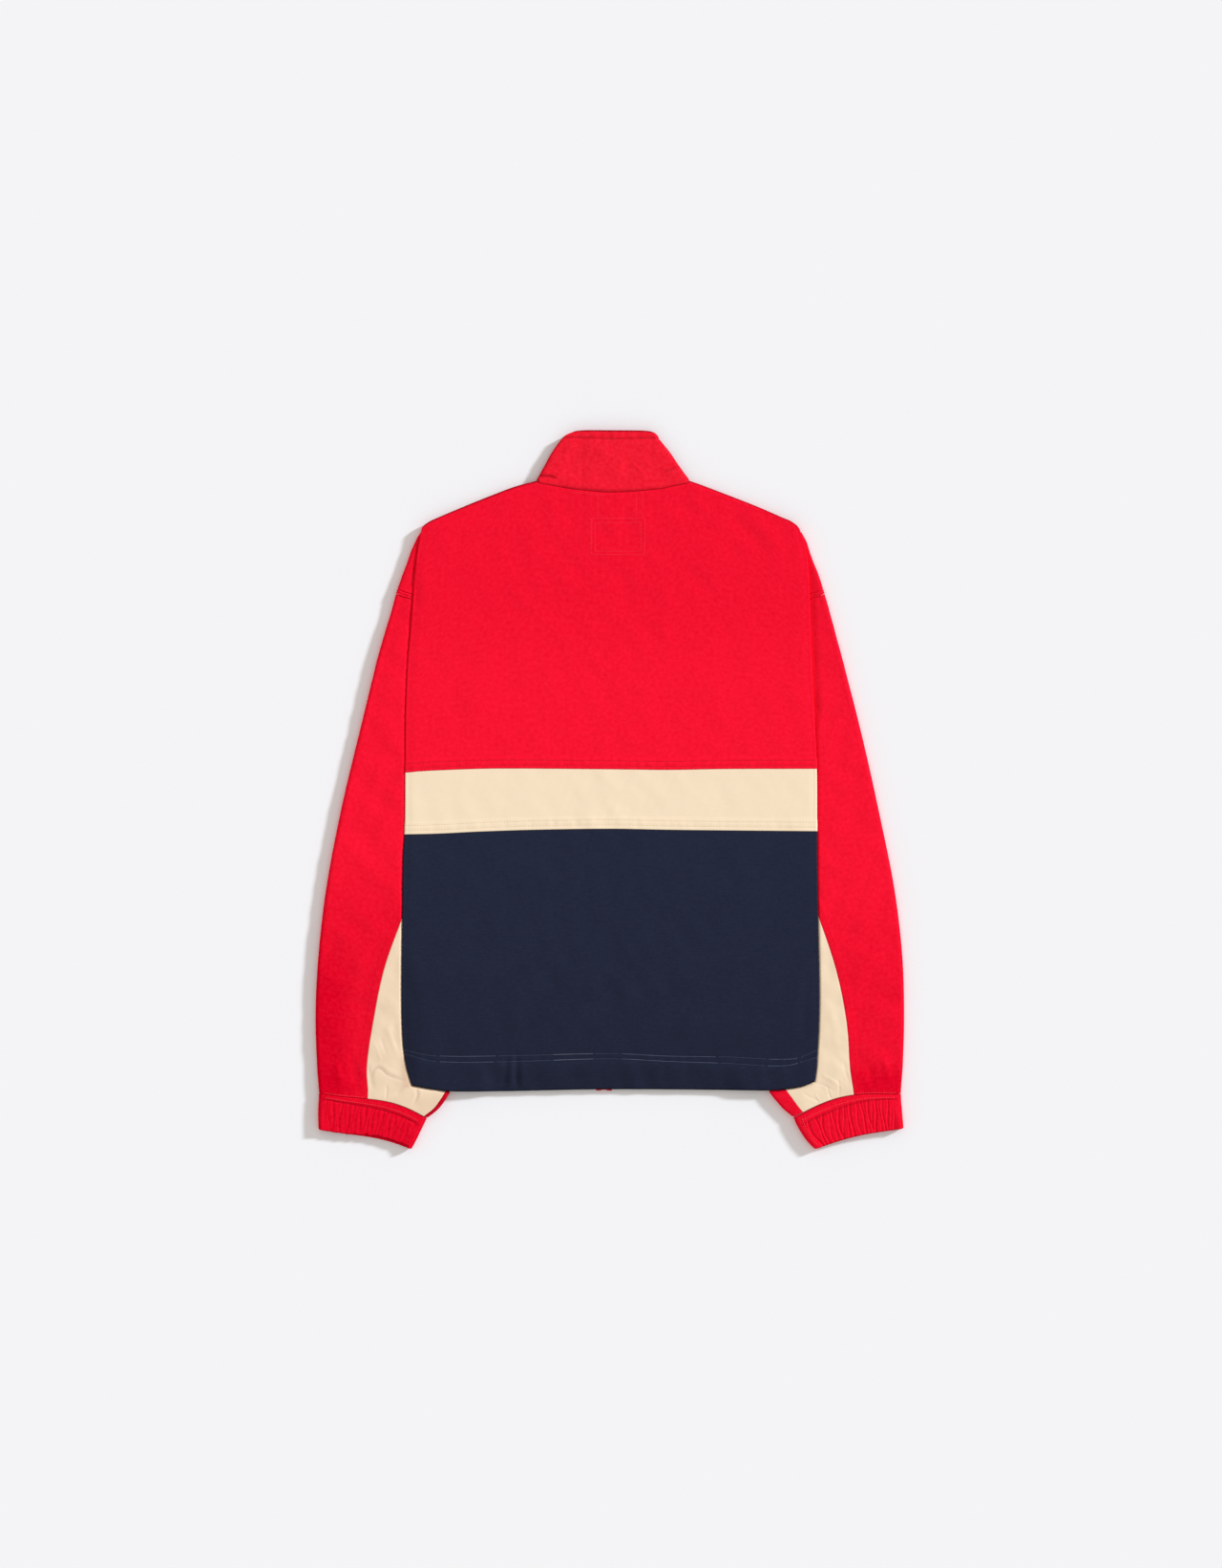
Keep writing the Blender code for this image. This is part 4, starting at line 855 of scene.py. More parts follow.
def fold(x, y, dx, dy, extent, tuck, parts):
    """Cloth that folds round an edge and runs back underneath, from its start."""
    x, y, dx, dy, extent, tuck = np.broadcast_arrays(x, y, dx, dy, extent, tuck)
    top = body_top(x, y)
    bottom = under_body(x, y)
    middle = (top + bottom) / 2
    radius = (top - bottom) / 2
    faces = []
    for cut in (0.0, WALL):
        points = []
        for angle in ANGLES:
            out = (extent - cut) * math.sin(angle)
            height = middle + (radius - cut) * math.cos(angle)
            points.append(np.stack([x + dx * out, y + dy * out, height], axis=-1))
        for part in parts:
            px = x - dx * tuck * part
            py = y - dy * tuck * part
            points.append(np.stack([px, py, under_body(px, py) + cut], axis=-1))
        faces.append(np.stack(points))
    return faces


# ---------------------------------------------------------------- back panels
NECK_CELLS = 98        # cells across the neck, and across each shoulder
SHOULDER_CELLS = 49
YOKE_CELLS, BAND_CELLS, LOWER_CELLS = 108, 19, 88      # and up each panel, between its seams


def column_shares():
    left, right = row_ends(Row(band_high_y, top_row_y, 0.0, 0.0, 1.0))
    a = (NECK[0, 0] - left) / (right - left)
    b = (NECK[-1, 0] - left) / (right - left)
    first = np.linspace(0.0, a, SHOULDER_CELLS + 1)
    middle = np.linspace(a, b, NECK_CELLS + 1)
    last = np.linspace(b, 1.0, SHOULDER_CELLS + 1)
    return np.concatenate([first, middle[1:], last[1:]])


COLUMNS = column_shares()
NECK_FIRST = SHOULDER_CELLS
NECK_LAST = SHOULDER_CELLS + NECK_CELLS
SIDE_STEPS = ARC + len(SIDE_PARTS)


def back_ring(row, top=False, top_distance=FAR):
    """A row right round the back, from one hidden side seam to the other.

    Returns both faces and the base of each point, in plan.
    """
    x = lerp(*row_ends(row), COLUMNS)
    if top:
        x[NECK_FIRST] = NECK[0, 0]
        x[NECK_LAST] = NECK[-1, 0]
    y = row_y(row, x)
    z = body_top(x, y)
    faces = [[np.stack([x, y, z], axis=-1)], [np.stack([x, y, z - WALL], axis=-1)],
             [np.stack([x, y], axis=-1)]]
    turn = max(0.0, 1.0 - top_distance / TIP_TURN)
    for is_left in (True, False):
        k = 0 if is_left else -1
        side = -1.0 if is_left else 1.0
        nx, ny = shoulder_normal(x[k], is_left)
        bx, by = unit(side + nx, ny)
        dx, dy = unit(lerp(side, bx, turn), lerp(0.0, by, turn))
        extent = PRESSED_BODY / 2 * lerp(1.0, TIP_REACH[is_left], turn)
        turned = fold(x[k], y[k], dx, dy, extent, side_tuck(y[k]), SIDE_PARTS)
        turned.append(np.broadcast_to([x[k], y[k]], (SIDE_STEPS, 2)))
        for face, points in zip(faces, turned):
            face.insert(0 if is_left else len(face), points[::-1] if is_left else points)
    return [np.concatenate(face) for face in faces]


def tuck_roll(rows, columns):
    """The cloth's edges roll under at both hidden side seams."""
    drop = np.zeros((rows, columns))
    drop[:, [1, -2]] = -EDGE_ROLL[0]
    drop[:, [0, -1]] = -EDGE_ROLL[1]
    return drop


def back_thin(outer, inner):
    """The inner face follows where the outer one settles well below its solid."""
    facing = up(normals_of(outer, inner))
    return np.minimum(settle(outer[..., 2]) + 1.2, 0.0) * facing


def back_lift(outer, inner, base, edges):
    normal = normals_of(outer, inner)
    x, y = plan(outer)
    facing = up(normal)
    relief = (body_relief(x, y) + settle(outer[..., 2])) * facing
    below = 1.0 - smooth((normal[..., 2] + 0.8) / 0.6)
    relief = relief + under_relief(x, y) * below * (1.0 - over_sleeves(x, y))
    return relief + edges(*plan(base))


# Painted shade, in the first nine values below: these darken the cloth's colour where its edges
# turn over, on rims that look towards the light, under the collar along its seam, in the grooves of
# stitching, along the left sleeve's rear seam, under a cuff's seam and at a cuff's open end.
RIM_PAINTED_SHADE = 0.60              # how much darker the cloth looks where it turns over an edge,
LIT_RIM_PAINTED_SHADE = 0.28              # where such an edge looks to the right,
COLLAR_SEAM_PAINTED_SHADE = 0.35      # under the collar, along its stitching and at its right edge,
COLLAR_ROW_PAINTED_SHADE = 0.10
COLLAR_LIT_PAINTED_SHADE = 0.25
REAR_SEAM_PAINTED_SHADE = 0.38             # by the left sleeve's rear seam, next to its cuff,
CUFF_ROW_PAINTED_SHADE = 0.30         # along a cuff's second stitching, under its seam and at its end
CUFF_SEAM_PAINTED_SHADE = 0.16
CUFF_END_PAINTED_SHADE = 0.42
YOKE_ROW_AT = (3.3, 9.0)     # stitching above the seam from red to cream
BAND_ROW_AT = (4.3, 9.8)     # and above the seam from cream to navy


def allowance(distance, x, at, height, seed, strength=1.0):
    """A raised seam allowance with two rows of stitching and their puckers."""
    near = bell(distance - (at[0] + at[1]) / 2, 4.5)
    return (plateau(distance, at[1] + 1.2, height)
            + groove(distance, at[0], 0.26 * strength)
            + groove(distance, at[1], 0.30 * strength)
            + ripple(x, seed, 7.0, 15.0) * 0.11 * strength * near
            + ripple(x + distance * 0.3, seed + 1, 20.0, 42.0) * 0.10 * strength * near)


def seam_edges(low_line, high_line, at, height, seed, strength, high_roll):
    """Relief between two seams, with an allowance above the lower one."""
    def relief(x, y):
        low = y - low_line(x)
        return (allowance(low, x, at, height, seed, strength) - roll(low, SEAM_ROLL)
                - roll(high_line(x) - y, high_roll))
    return relief


def yoke_edges(x, y):
    low = y - band_high_y(x)
    high = top_row_y(x) - y
    neck = smooth((x - NECK[0, 0] + 1.0) / 3.0) * smooth((NECK[-1, 0] + 1.0 - x) / 3.0)
    middle = 0.35 + 0.65 * bell(x - MIDDLE, 48.0)
    seam = -0.35 * middle * (1.0 - smooth(high / 1.6)) * neck
    return (allowance(low, x, YOKE_ROW_AT, 0.50, 61) - roll(low, SEAM_ROLL)
            - roll(high, 0.6) * neck + seam)


band_edges = seam_edges(band_low_y, band_high_y, BAND_ROW_AT, 0.42, 71, 0.7, 0.9)


HEM_ROW_HIGH = np.array([
    (-225.6, -287.8), (-196.0, -293.6), (-125.3, -293.9), (1.3, -291.3),
    (64.6, -294.1), (127.9, -295.0), (203.8, -297.1), (228.1, -287.8)])
HEM_ROW_LOW = np.array([
    (-225.6, -292.0), (-193.9, -299.8), (-125.3, -300.5), (1.3, -297.0),
    (64.6, -299.9), (127.9, -302.0), (193.3, -304.7), (227.0, -296.2)])
hem_row_high_y = curve(HEM_ROW_HIGH)
hem_row_low_y = curve(HEM_ROW_LOW)


def lower_edges(x, y):
    low = y - hem_y(x)
    high = band_low_y(x) - y
    rows = groove(y - hem_row_high_y(x), 0.0, 0.30) + groove(y - hem_row_low_y(x), 0.0, 0.30)
    inside = hem_row_low_y(x) - y
    casing = 0.45 * smooth(inside / 5.0) * smooth(low / 4.0)
    casing = casing + smooth(inside / 4.0) * ripple(x + low * 0.25, 81, 16.0, 44.0) * 0.24
    near = bell(y - hem_row_low_y(x) - 3.0, 6.0)
    pucker = near * (ripple(x, 82, 9.0, 18.0) * 0.12 + ripple(x, 83, 24.0, 50.0) * 0.12)
    return rows + casing + pucker - roll(low, RIM_ROLL) - roll(high, 0.9) - hem_sag(x, y)


def hem_sag(x, y):
    """Between the sleeves, the hem lies lower than the cloth above it."""
    return 3.6 * (1.0 - smooth((y - hem_y(x)) / 30.0)) * (1.0 - over_sleeves(x, y))


def hem_thin(x, y):
    return roll(y - hem_y(x), RIM_ROLL) - hem_sag(x, y)


# Painted shade along the hem's rolled edge, where the cloth turns over.
def hem_rim_painted_shade(base):
    low = base[..., 1] - hem_y(base[..., 0])
    return RIM_PAINTED_SHADE * (1.0 - smooth((low - 0.4) / 1.2))


pieces = {}


def finish_piece(cloth, node_name, material, flat, rests_on):
    item = cloth.build("cloth_" + node_name, material)
    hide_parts(node_name)
    area = min(cloth.area, flat[0] * flat[1])
    pieces[node_name] = (item, flat, area, rests_on)


UV_COLUMN = 90        # the column along which the heights of the weave are measured


def back_panel(rows, edges, thin=None, top=False):
    rings = []
    for k, row in enumerate(rows):
        end = row_ends(row)[0]
        distance = float(top_row_y(end) - row_y(row, end)) if top else FAR
        rings.append(back_ring(row, top and k == len(rows) - 1, distance))
    outer, inner, base = (np.stack(part) for part in zip(*rings))
    lift = back_lift(outer, inner, base, edges) - tuck_roll(*outer.shape[:2])
    inward = back_thin(outer, inner)
    if thin:
        inward = inward + thin(*plan(base))
    cloth = Cloth()
    cloth.add(outer, inner, lift, inward, (0.0, float(base[0, UV_COLUMN, 1])),
              dark=hem_rim_painted_shade(base) if thin else 0.0)
    if top:
        add_shoulders(cloth, outer[-1], inner[-1], lift[-1])
    return cloth


def add_shoulders(cloth, *top_row):
    """The folds over the shoulders, which share the tips' folds with the sides."""
    shared = list(range(ARC)) + [ARC + int(np.argmin(np.abs(SIDE_PARTS - part)))
                                 for part in TOP_PARTS]
    level = np.arange(ARC + len(TOP_PARTS) + 1)[:, None]
    for left in (True, False):
        cells = slice(0, NECK_FIRST + 1) if left else slice(NECK_LAST, len(COLUMNS))
        points, inside, lifts = (part[SIDE_STEPS:-SIDE_STEPS][cells] for part in top_row)
        x, y = plan(points)
        end = 0 if left else -1
        tip, neck = x[end], x[-1 - end]
        nx, ny = shoulder_normal(x, left)
        tip_nx, tip_ny = shoulder_normal(tip, left)
        bx, by = unit((-1.0 if left else 1.0) + tip_nx, tip_ny)
        fx, fy = neck_fold(left)
        turn = np.clip(1.0 - np.abs(x - tip) / TIP_TURN, 0.0, 1.0)
        hold = np.clip(1.0 - np.abs(x - neck) / NECK_HOLD, 0.0, 1.0)
        dx, dy = unit(lerp(lerp(nx, bx, turn), fx, hold), lerp(lerp(ny, by, turn), fy, hold))
        half = body_height(x, y) / 2
        corner = PRESSED_BODY / 2 * TIP_REACH[left]
        extent = lerp(lerp(half, corner, turn), half * NECK_REACH, hold)
        out, within = fold(x, y, dx, dy, extent, shoulder_tuck(x), TOP_PARTS)
        out = np.concatenate([points[None], out])
        within = np.concatenate([inside[None], within])
        lift = lifts[None] * np.clip(1.0 - level / 5.0, 0.0, 1.0)
        lift[-2:] = np.array(EDGE_ROLL)[:, None]
        for mine, row in zip((out, within, lift), top_row):
            side = row[:SIDE_STEPS][::-1] if left else row[-SIDE_STEPS:]
            mine[1:, end] = side[shared]
        thin = np.zeros(lift.shape)
        thin[0] = back_thin(points, inside)
        # painted shade on the shoulder folds, where the cloth turns over
        dark = RIM_PAINTED_SHADE * smooth((level - 0.4) / 2.2) * (1.0 - smooth((level - 6.0) / 3.0))
        dark = np.broadcast_to(dark, lift.shape).copy()
        dark[:, end] = 0.0
        cloth.add(out, within, lift, thin, (0.0, float(y[0])), dark=dark)


LOW_STEPS = [0, 0.12, 0.35, 0.7, 1.3, 2.2, 3.3, 4.3, 5.4, 6.6, 7.9, 9.0, 10.0, 11.2, 13.0, 15.0]
HIGH_STEPS = [0, 0.12, 0.35, 0.8, 1.5, 2.6, 4.2, 5.5, 7.0]
HEM_STEPS = [0, 0.1, 0.3, 0.6, 1.0, 2.0, 4.0, 6.5, 9.0, 11.5, 14.0, 16.5, 19.0, 21.5,
             23.5, 25.5, 27.0, 28.5, 30.0, 31.5, 33.0, 34.5, 36.0, 37.5, 39.0, 40.5,
             42.5, 45.0]
yoke_rows = rows_between(band_high_y, top_row_y, LOW_STEPS, HIGH_STEPS, YOKE_CELLS,
                         SEAM_EDGE, 0.15)
band_rows = rows_between(band_low_y, band_high_y, LOW_STEPS, HIGH_STEPS[:7], BAND_CELLS,
                         SEAM_EDGE, SEAM_EDGE)
lower_rows = rows_between(hem_y, band_low_y, HEM_STEPS, HIGH_STEPS[:7], LOWER_CELLS,
                          0.0, SEAM_EDGE)
ON_SLEEVES = ["sleeve_main_left", "sleeve_main_right"]
finish_piece(back_panel(yoke_rows, yoke_edges, top=True), "back_yoke",
             red_cloth, (0.515, 0.345), ["shoulder_drop_left", "shoulder_drop_right",
                                         "front_yoke_left", "front_yoke_right"])
finish_piece(back_panel(band_rows, band_edges), "back_band", cream_cloth,
             (0.515, 0.073), ON_SLEEVES + ["front_band_left", "front_band_right"])
finish_piece(back_panel(lower_rows, lower_edges, hem_thin), "back_lower",
             navy_cloth, (0.52, 0.293), ON_SLEEVES + ["front_lower_left", "front_lower_right"])


# ---------------------------------------------------------------- necklines
def bend(a, b, c, t):
    t = np.asarray(t)[..., None]
    return a * (1 - t) ** 2 + b * (2 * t * (1 - t)) + c * t ** 2


def front_edge_x(left):
    return CENTRE_FRONT + (-FRONT_OPENING if left else FRONT_OPENING)


def neck_start(left):
    return NECK[0].copy() if left else NECK[-1].copy()


def front_neck_point(left, t):
    start = neck_start(left)
    end = np.array([front_edge_x(left), FRONT_NECK_Y])
    away = np.array(neck_fold(left))
    reach = (start[1] - end[1]) / away[1] * 0.93
    return bend(start, start - away * reach, end, t)


def front_neck_y(x, left):
    low = np.zeros(np.shape(x))
    high = np.ones(np.shape(x))
    for _ in range(30):
        t = (low + high) / 2
        before = (front_neck_point(left, t)[..., 0] < x) == left
        low = np.where(before, t, low)
        high = np.where(before, high, t)
    return front_neck_point(left, low)[..., 1]


def front_top_y(x):
    """Top of a front panel: the forward shoulder seam, then the neckline."""
    x = np.asarray(x, float)
    result = np.zeros(np.shape(x))
    for left in (True, False):
        height = body_height(x, shoulder_y(x, left)) / 2
        inset = height + shoulder_tuck(x) + HIDDEN_SEAM_GAP
        seam = shoulder_y(x, left) - inset / shoulder_normal(x, left)[1]
        start = neck_start(left)
        past = (x > start[0]) if left else (x < start[0])
        lower = np.minimum(seam, front_neck_y(x, left) - NECK_SEAM_DROP)
        chosen = np.where(past, lower, seam)
        mine = (x < CENTRE_FRONT) if left else (x >= CENTRE_FRONT)
        result = np.where(mine, chosen, result)
    return result


def front_hem_y(x):
    return hem_y(x) + 0.6


# ---------------------------------------------------------------- front panels
FRONT_NEAR = np.array([26.0, 22.0, 18.0, 14.5, 11.5, 9.0, 7.4, 6.4, 5.4, 4.0, 2.6, 1.6,
                       1.0, 0.6, 0.3, 0.1, 0.0])
FRONT_FAR = np.array([0.0, 0.3, 0.8, 1.8, 4.0])
ZIP_ROW_AT = 6.4
FRONT_HEM_ROW_AT = (33.0, 26.5)


def front_inset(y):
    clear = HIDDEN_SEAM_GAP + TIP_CLEAR * smooth((y - 220.0) / 60.0)
    return PRESSED_BODY / 2 + side_tuck(y) + clear


def front_ring(row, left):
    start = row_end(row, left, front_inset)
    edge = front_edge_x(left)
    sign = 1.0 if left else -1.0
    first = start + sign * FRONT_FAR
    last = edge - sign * FRONT_NEAR
    middle = np.linspace(first[-1], last[0], 42)[1:-1]
    x = np.concatenate([first, middle, last])
    y = row_y(row, x)
    z = under_body(x, y)
    return (np.stack([x, y, z], axis=-1), np.stack([x, y, z + WALL], axis=-1),
            np.abs(edge - x), np.abs(x - start))


def front_lift(outer, edge, start, seams):
    x, y = plan(outer)
    relief = np.minimum(under_relief(x, y) - 0.35 + seams(x, y), 0.0)
    zip_row = groove(edge, ZIP_ROW_AT, 0.22) - 0.2 * smooth((edge - 9.0) / 3.0)
    return relief + zip_row - roll(edge, RIM_ROLL) - roll(start, 0.55)


def front_lower_seams(x, y):
    low = y - front_hem_y(x)
    high = band_low_y(x) - y
    rows = sum(groove(low, at, 0.26) for at in FRONT_HEM_ROW_AT)
    casing = 0.35 * (1.0 - smooth((low - 24.0) / 4.0))
    casing = casing + (1.0 - smooth((low - 24.0) / 5.0)) * ripple(x, 84, 18.0, 44.0) * 0.2
    return rows + casing - roll(low, RIM_ROLL) - roll(high, 0.7)


def front_rings(rows, left):
    """Both faces of a front, with each point's distance from its zip and side edges."""
    rings = [front_ring(row, left) for row in rows]
    return [np.stack(part) for part in zip(*rings)]


def front_panel(rows, left, seams, at_hem):
    outer, inner, edge, start = front_rings(rows, left)
    lift = front_lift(outer, edge, start, seams)
    inward = roll(edge, RIM_ROLL)
    if at_hem:
        inward = inward + roll(outer[..., 1] - front_hem_y(outer[..., 0]), RIM_ROLL)
    cloth = Cloth()
    cloth.add(outer, inner, lift, np.minimum(inward, RIM_ROLL),
              (0.0, float(outer[0, FRONT_UV_COLUMN, 1])), flip=left)
    return cloth


FRONT_UV_COLUMN = 30   # as UV_COLUMN, of a front
FRONT_LOW = [0, 0.12, 0.35, 0.8, 1.8, 3.3, 4.8, 6.4, 8.0, 9.4, 11.0, 13.0]
FRONT_HIGH = [0, 0.12, 0.35, 0.8, 1.8, 4.0]
FRONT_HEM = [0, 0.1, 0.3, 0.6, 1.0, 2.5, 5.5, 9.0, 13.0, 17.0, 21.0, 24.0, 26.5, 29.0,
             31.0, 33.0, 35.0, 38.0]
Front = namedtuple("Front", "low high steps cells gaps seams cloth material flat")
FRONTS = {
    "yoke": Front(band_high_y, front_top_y, FRONT_LOW, 50, (SEAM_EDGE, 0.15),
                  seam_edges(band_high_y, front_top_y, YOKE_ROW_AT, 0.40, 64, 1.0, 0.6),
                  "red_cloth", red_cloth, (0.21, 0.31)),
    "band": Front(band_low_y, band_high_y, FRONT_LOW, 12, (SEAM_EDGE, SEAM_EDGE),
                  seam_edges(band_low_y, band_high_y, BAND_ROW_AT, 0.36, 74, 0.7, 0.7),
                  "cream_cloth", cream_cloth, (0.21, 0.073)),
    "lower": Front(front_hem_y, band_low_y, FRONT_HEM, 46, (0.0, SEAM_EDGE),
                   front_lower_seams, "navy_cloth", navy_cloth, (0.215, 0.293)),
}
for hand in ("left", "right"):
    for name, front in FRONTS.items():
        rows = rows_between(front.low, front.high, front.steps, FRONT_HIGH, front.cells,
                            *front.gaps)
        made = front_panel(rows, hand == "left", front.seams, name == "lower")
        finish_piece(made, f"front_{name}_{hand}", front.material, front.flat,
                     ["floor"])

# ---------------------------------------------------------------- collar
COLLAR_SIZE = 60.0
COLLAR_T = np.concatenate([
    np.array([0, 0.12, 0.35, 0.8, 1.4, 2.2, 3.2, 4.6]) / COLLAR_SIZE,
    np.linspace(6.4 / COLLAR_SIZE, 1 - 11.5 / COLLAR_SIZE, 40),
    1 - np.array([10.2, 9.2, 8.4, 7.6, 6.4, 4.8, 3.2, 2.0, 1.2, 0.7, 0.35, 0.12, 0]) / COLLAR_SIZE])
COLLAR_FRONT = np.concatenate([np.linspace(0, 0.93, 26), [0.955, 0.975, 0.988, 0.995, 1.0]])
COLLAR_ROW_AT = 8.4


def collar_corner(left, t):
    k = 1 if left else 3
    return np.array([through(COLLAR_EDGES[:, 0], COLLAR_EDGES[:, k], t),
                     through(COLLAR_EDGES[:, 0], COLLAR_EDGES[:, k + 1], t)])


def collar_lean(left, t):
    start = np.array(neck_fold(left))
    side = np.array([-0.82, 0.57]) if left else np.array([0.82, 0.57])
    both = lerp(start, side, smooth(t / 0.3))
    return both / np.linalg.norm(both)


def collar_fold(left, t):
    """Outward direction of the fold, which turns into the top edge at the corner."""
    lean = collar_lean(left, t)
    turn = CORNER_TURN * smooth((t - 0.6) / 0.4)
    angle = math.atan2(lean[1], lean[0]) + (turn if left else -turn)
    return np.array([math.cos(angle), math.sin(angle)])


def collar_row(t):
    """A row round the collar: left front and fold, back, right fold and front."""
    ends = {}
    for left in (True, False):
        away = collar_fold(left, t)
        extent = LOFT / 2 * lerp(NECK_REACH, 1.0, smooth(t / 0.3))
        base = collar_corner(left, t) - away * extent
        if t == 0:
            base = neck_start(left) + np.array([0.0, SEAM_EDGE])
        ends[left] = (base, away, extent)
    w = np.linspace(0, 1, NECK_CELLS + 1)
    neck_x = lerp(NECK[0, 0], NECK[-1, 0], w)
    low_line = np.column_stack([neck_x, neck_y(neck_x) + SEAM_EDGE])
    corners = [collar_corner(left, 1.0)[0] for left in (True, False)]
    bulge = COLLAR_BULGE * (1.0 - (2.0 * w - 1.0) ** 6)
    place = lerp(low_line, np.column_stack([lerp(*corners, w), COLLAR_TOP + bulge]), t)
    for left, weight, at in ((True, (1 - w) ** 3, 0), (False, w ** 3, -1)):
        plain = lerp(low_line[at], np.array([corners[at], COLLAR_TOP]), t)
        place = place + (ends[left][0] - plain)[None] * weight[:, None]
    faces = []
    for cut in (0.0, WALL):
        sides = []
        for left, (base, away, extent) in ends.items():
            lean = collar_lean(left, t)
            end = np.array([front_edge_x(left), lerp(FRONT_NECK_Y, COLLAR_FRONT_Y, t)])
            reach = (base[1] - end[1]) / lean[1] * lerp(0.93, 0.62, t)
            reach = min(reach, abs((end[0] - base[0]) / lean[0]) * 0.85)
            flat = bend(base, base - lean * reach, end, COLLAR_FRONT)
            top = float(body_top(*base))
            bottom = float(under_body(*base))
            out = (extent - cut) * np.sin(ANGLES[:-1])
            height = (top + bottom) / 2 + ((top - bottom) / 2 - cut) * np.cos(ANGLES[:-1])
            arc = np.column_stack([base[0] + away[0] * out, base[1] + away[1] * out, height])
            sides.append(np.concatenate([
                arc, np.column_stack([flat, under_body(*flat.T) + cut])]))
        back = np.column_stack([place, body_top(*place.T) - cut])
        faces.append(np.concatenate([sides[0][::-1], back, sides[1]]))
    return faces


def collar_lift(outer, inner, t):
    normal = normals_of(outer, inner)
    x, y = plan(outer)
    d_neck = t * COLLAR_SIZE
    d_top = (1 - t) * COLLAR_SIZE
    edge = np.abs(x - np.where(x < CENTRE_FRONT, front_edge_x(True), front_edge_x(False)))
    flat_part = np.ones(outer.shape[-2])
    flat_part[len(COLLAR_FRONT):-len(COLLAR_FRONT)] = 0.0
    near = bell(d_top - 5.0, 5.0)
    top_line = (groove(d_top, COLLAR_ROW_AT, 0.65, 1.0) + plateau(d_top, COLLAR_ROW_AT - 1.0, 0.45)
                + ripple(x, 91, 8.0, 20.0) * 0.14 * near)
    middle = 0.4 + 0.6 * bell(x - MIDDLE, 48.0)
    lift = top_line - roll(d_top, RIM_ROLL) - roll(d_neck, 0.75)
    at_seam = 1.0 - smooth((d_neck - 0.4) / lerp(1.8, 3.4, middle))
    lift = lift - 1.1 * middle * at_seam * up(normal)
    lift = lift + (collar_relief(x, y) + settle(outer[..., 2])) * up(normal)
    lift = lift + 0.5 * (1.0 - smooth((d_neck - 4.0) / 22.0)) * up(normal)
    lift = lift - flat_part * (roll(edge, RIM_ROLL) + 0.15 * smooth(edge / 4.0) + 0.2)
    return lift


collar_outer, collar_inner = (np.stack(face) for face in zip(*map(collar_row, COLLAR_T)))
collar_t = COLLAR_T[:, None]
collar_cloth = Cloth()
collar_top = (1 - collar_t) * COLLAR_SIZE
collar_low = collar_t * COLLAR_SIZE
# Painted shade on the collar: on its turned sides and top edge, under it along the neck seam, in
# the groove of its stitching, in two creases, and on rims that look towards the light.
seam_width = 1.2 + 1.6 * bell(collar_outer[..., 0] - MIDDLE, 50.0)
collar_nz = normals_of(collar_outer, collar_inner)[..., 2]
collar_side_painted_shade = RIM_PAINTED_SHADE * (1.0 - smooth((collar_nz - 0.4) / 0.55))
collar_side_painted_shade = collar_side_painted_shade * smooth((collar_nz + 0.7) / 0.4)
collar_crease_shading = sharp_creases(*plan(collar_outer), COLLAR_CREASE_PAINTED_SHADE)
collar_painted_shade = (np.maximum(RIM_PAINTED_SHADE * (1.0 - smooth((collar_top - 0.9) / 1.2)), collar_side_painted_shade)
               + COLLAR_SEAM_PAINTED_SHADE * (1.0 - smooth((collar_low - 0.4) / seam_width))
               + COLLAR_ROW_PAINTED_SHADE * bell(collar_top - COLLAR_ROW_AT, 1.0)
               + collar_crease_shading * smooth(collar_nz / 0.3)
               + COLLAR_LIT_PAINTED_SHADE * lit_edge(collar_outer, collar_inner))
collar_cloth.add(collar_outer, collar_inner, collar_lift(collar_outer, collar_inner, collar_t),
                 roll(collar_top, RIM_ROLL) + back_thin(collar_outer, collar_inner),
                 dark=collar_painted_shade)
finish_piece(collar_cloth, "collar", collar_cloth_red, (0.40, 0.085),
             ["front_yoke_left", "front_yoke_right", "floor"])


# ---------------------------------------------------------------- tubes
Tube = namedtuple("Tube", "table names height wall")
SLEEVES = {"left": Tube(SLEEVE_LEFT, CROSS, sleeve_height, WALL),
           "right": Tube(SLEEVE_RIGHT, CROSS, sleeve_height, WALL)}
DROPS = {"left": Tube(DROP_LEFT, DROP, sleeve_height, WALL),
         "right": Tube(DROP_RIGHT, DROP, sleeve_height, WALL)}
CUFFS = {"left": Tube(CUFF_LEFT, CUFF, cuff_height, CUFF_WALL),
         "right": Tube(CUFF_RIGHT, CUFF, cuff_height, CUFF_WALL)}
TURN = (np.pi * np.arange(0, ARC + 1) / ARC)[None]      # round a fold, from its top


def tube_frame(tube, position):
    """A cross-section, its level width, its direction and its outer and inner folds."""
    cut = section(tube.table, tube.names, position)
    ux, uy = unit(cut["in_x"] - cut["out_x"], cut["in_y"] - cut["out_y"])
    folds = []
    for side, sign in (("out", 1.0), ("in", -1.0)):
        x, y = cut[side + "_x"], cut[side + "_y"]
        half = tube.height(x, y) / 2
        folds.append((x + sign * ux * half, y + sign * uy * half, half))
    first, last = folds
    width = np.hypot(last[0] - first[0], last[1] - first[1])
    return cut, width, (ux, uy), folds


def armhole_rise(out_y, inside):
    """The armhole seam bends up a little where it leaves the sleeve's outer edge."""
    near = 1.0 - smooth(np.abs(out_y - ARMHOLE_Y) / 50.0)
    return 4.4 * near * smooth(inside / 16.0) * (1.0 - smooth((inside - 24.0) / 44.0))


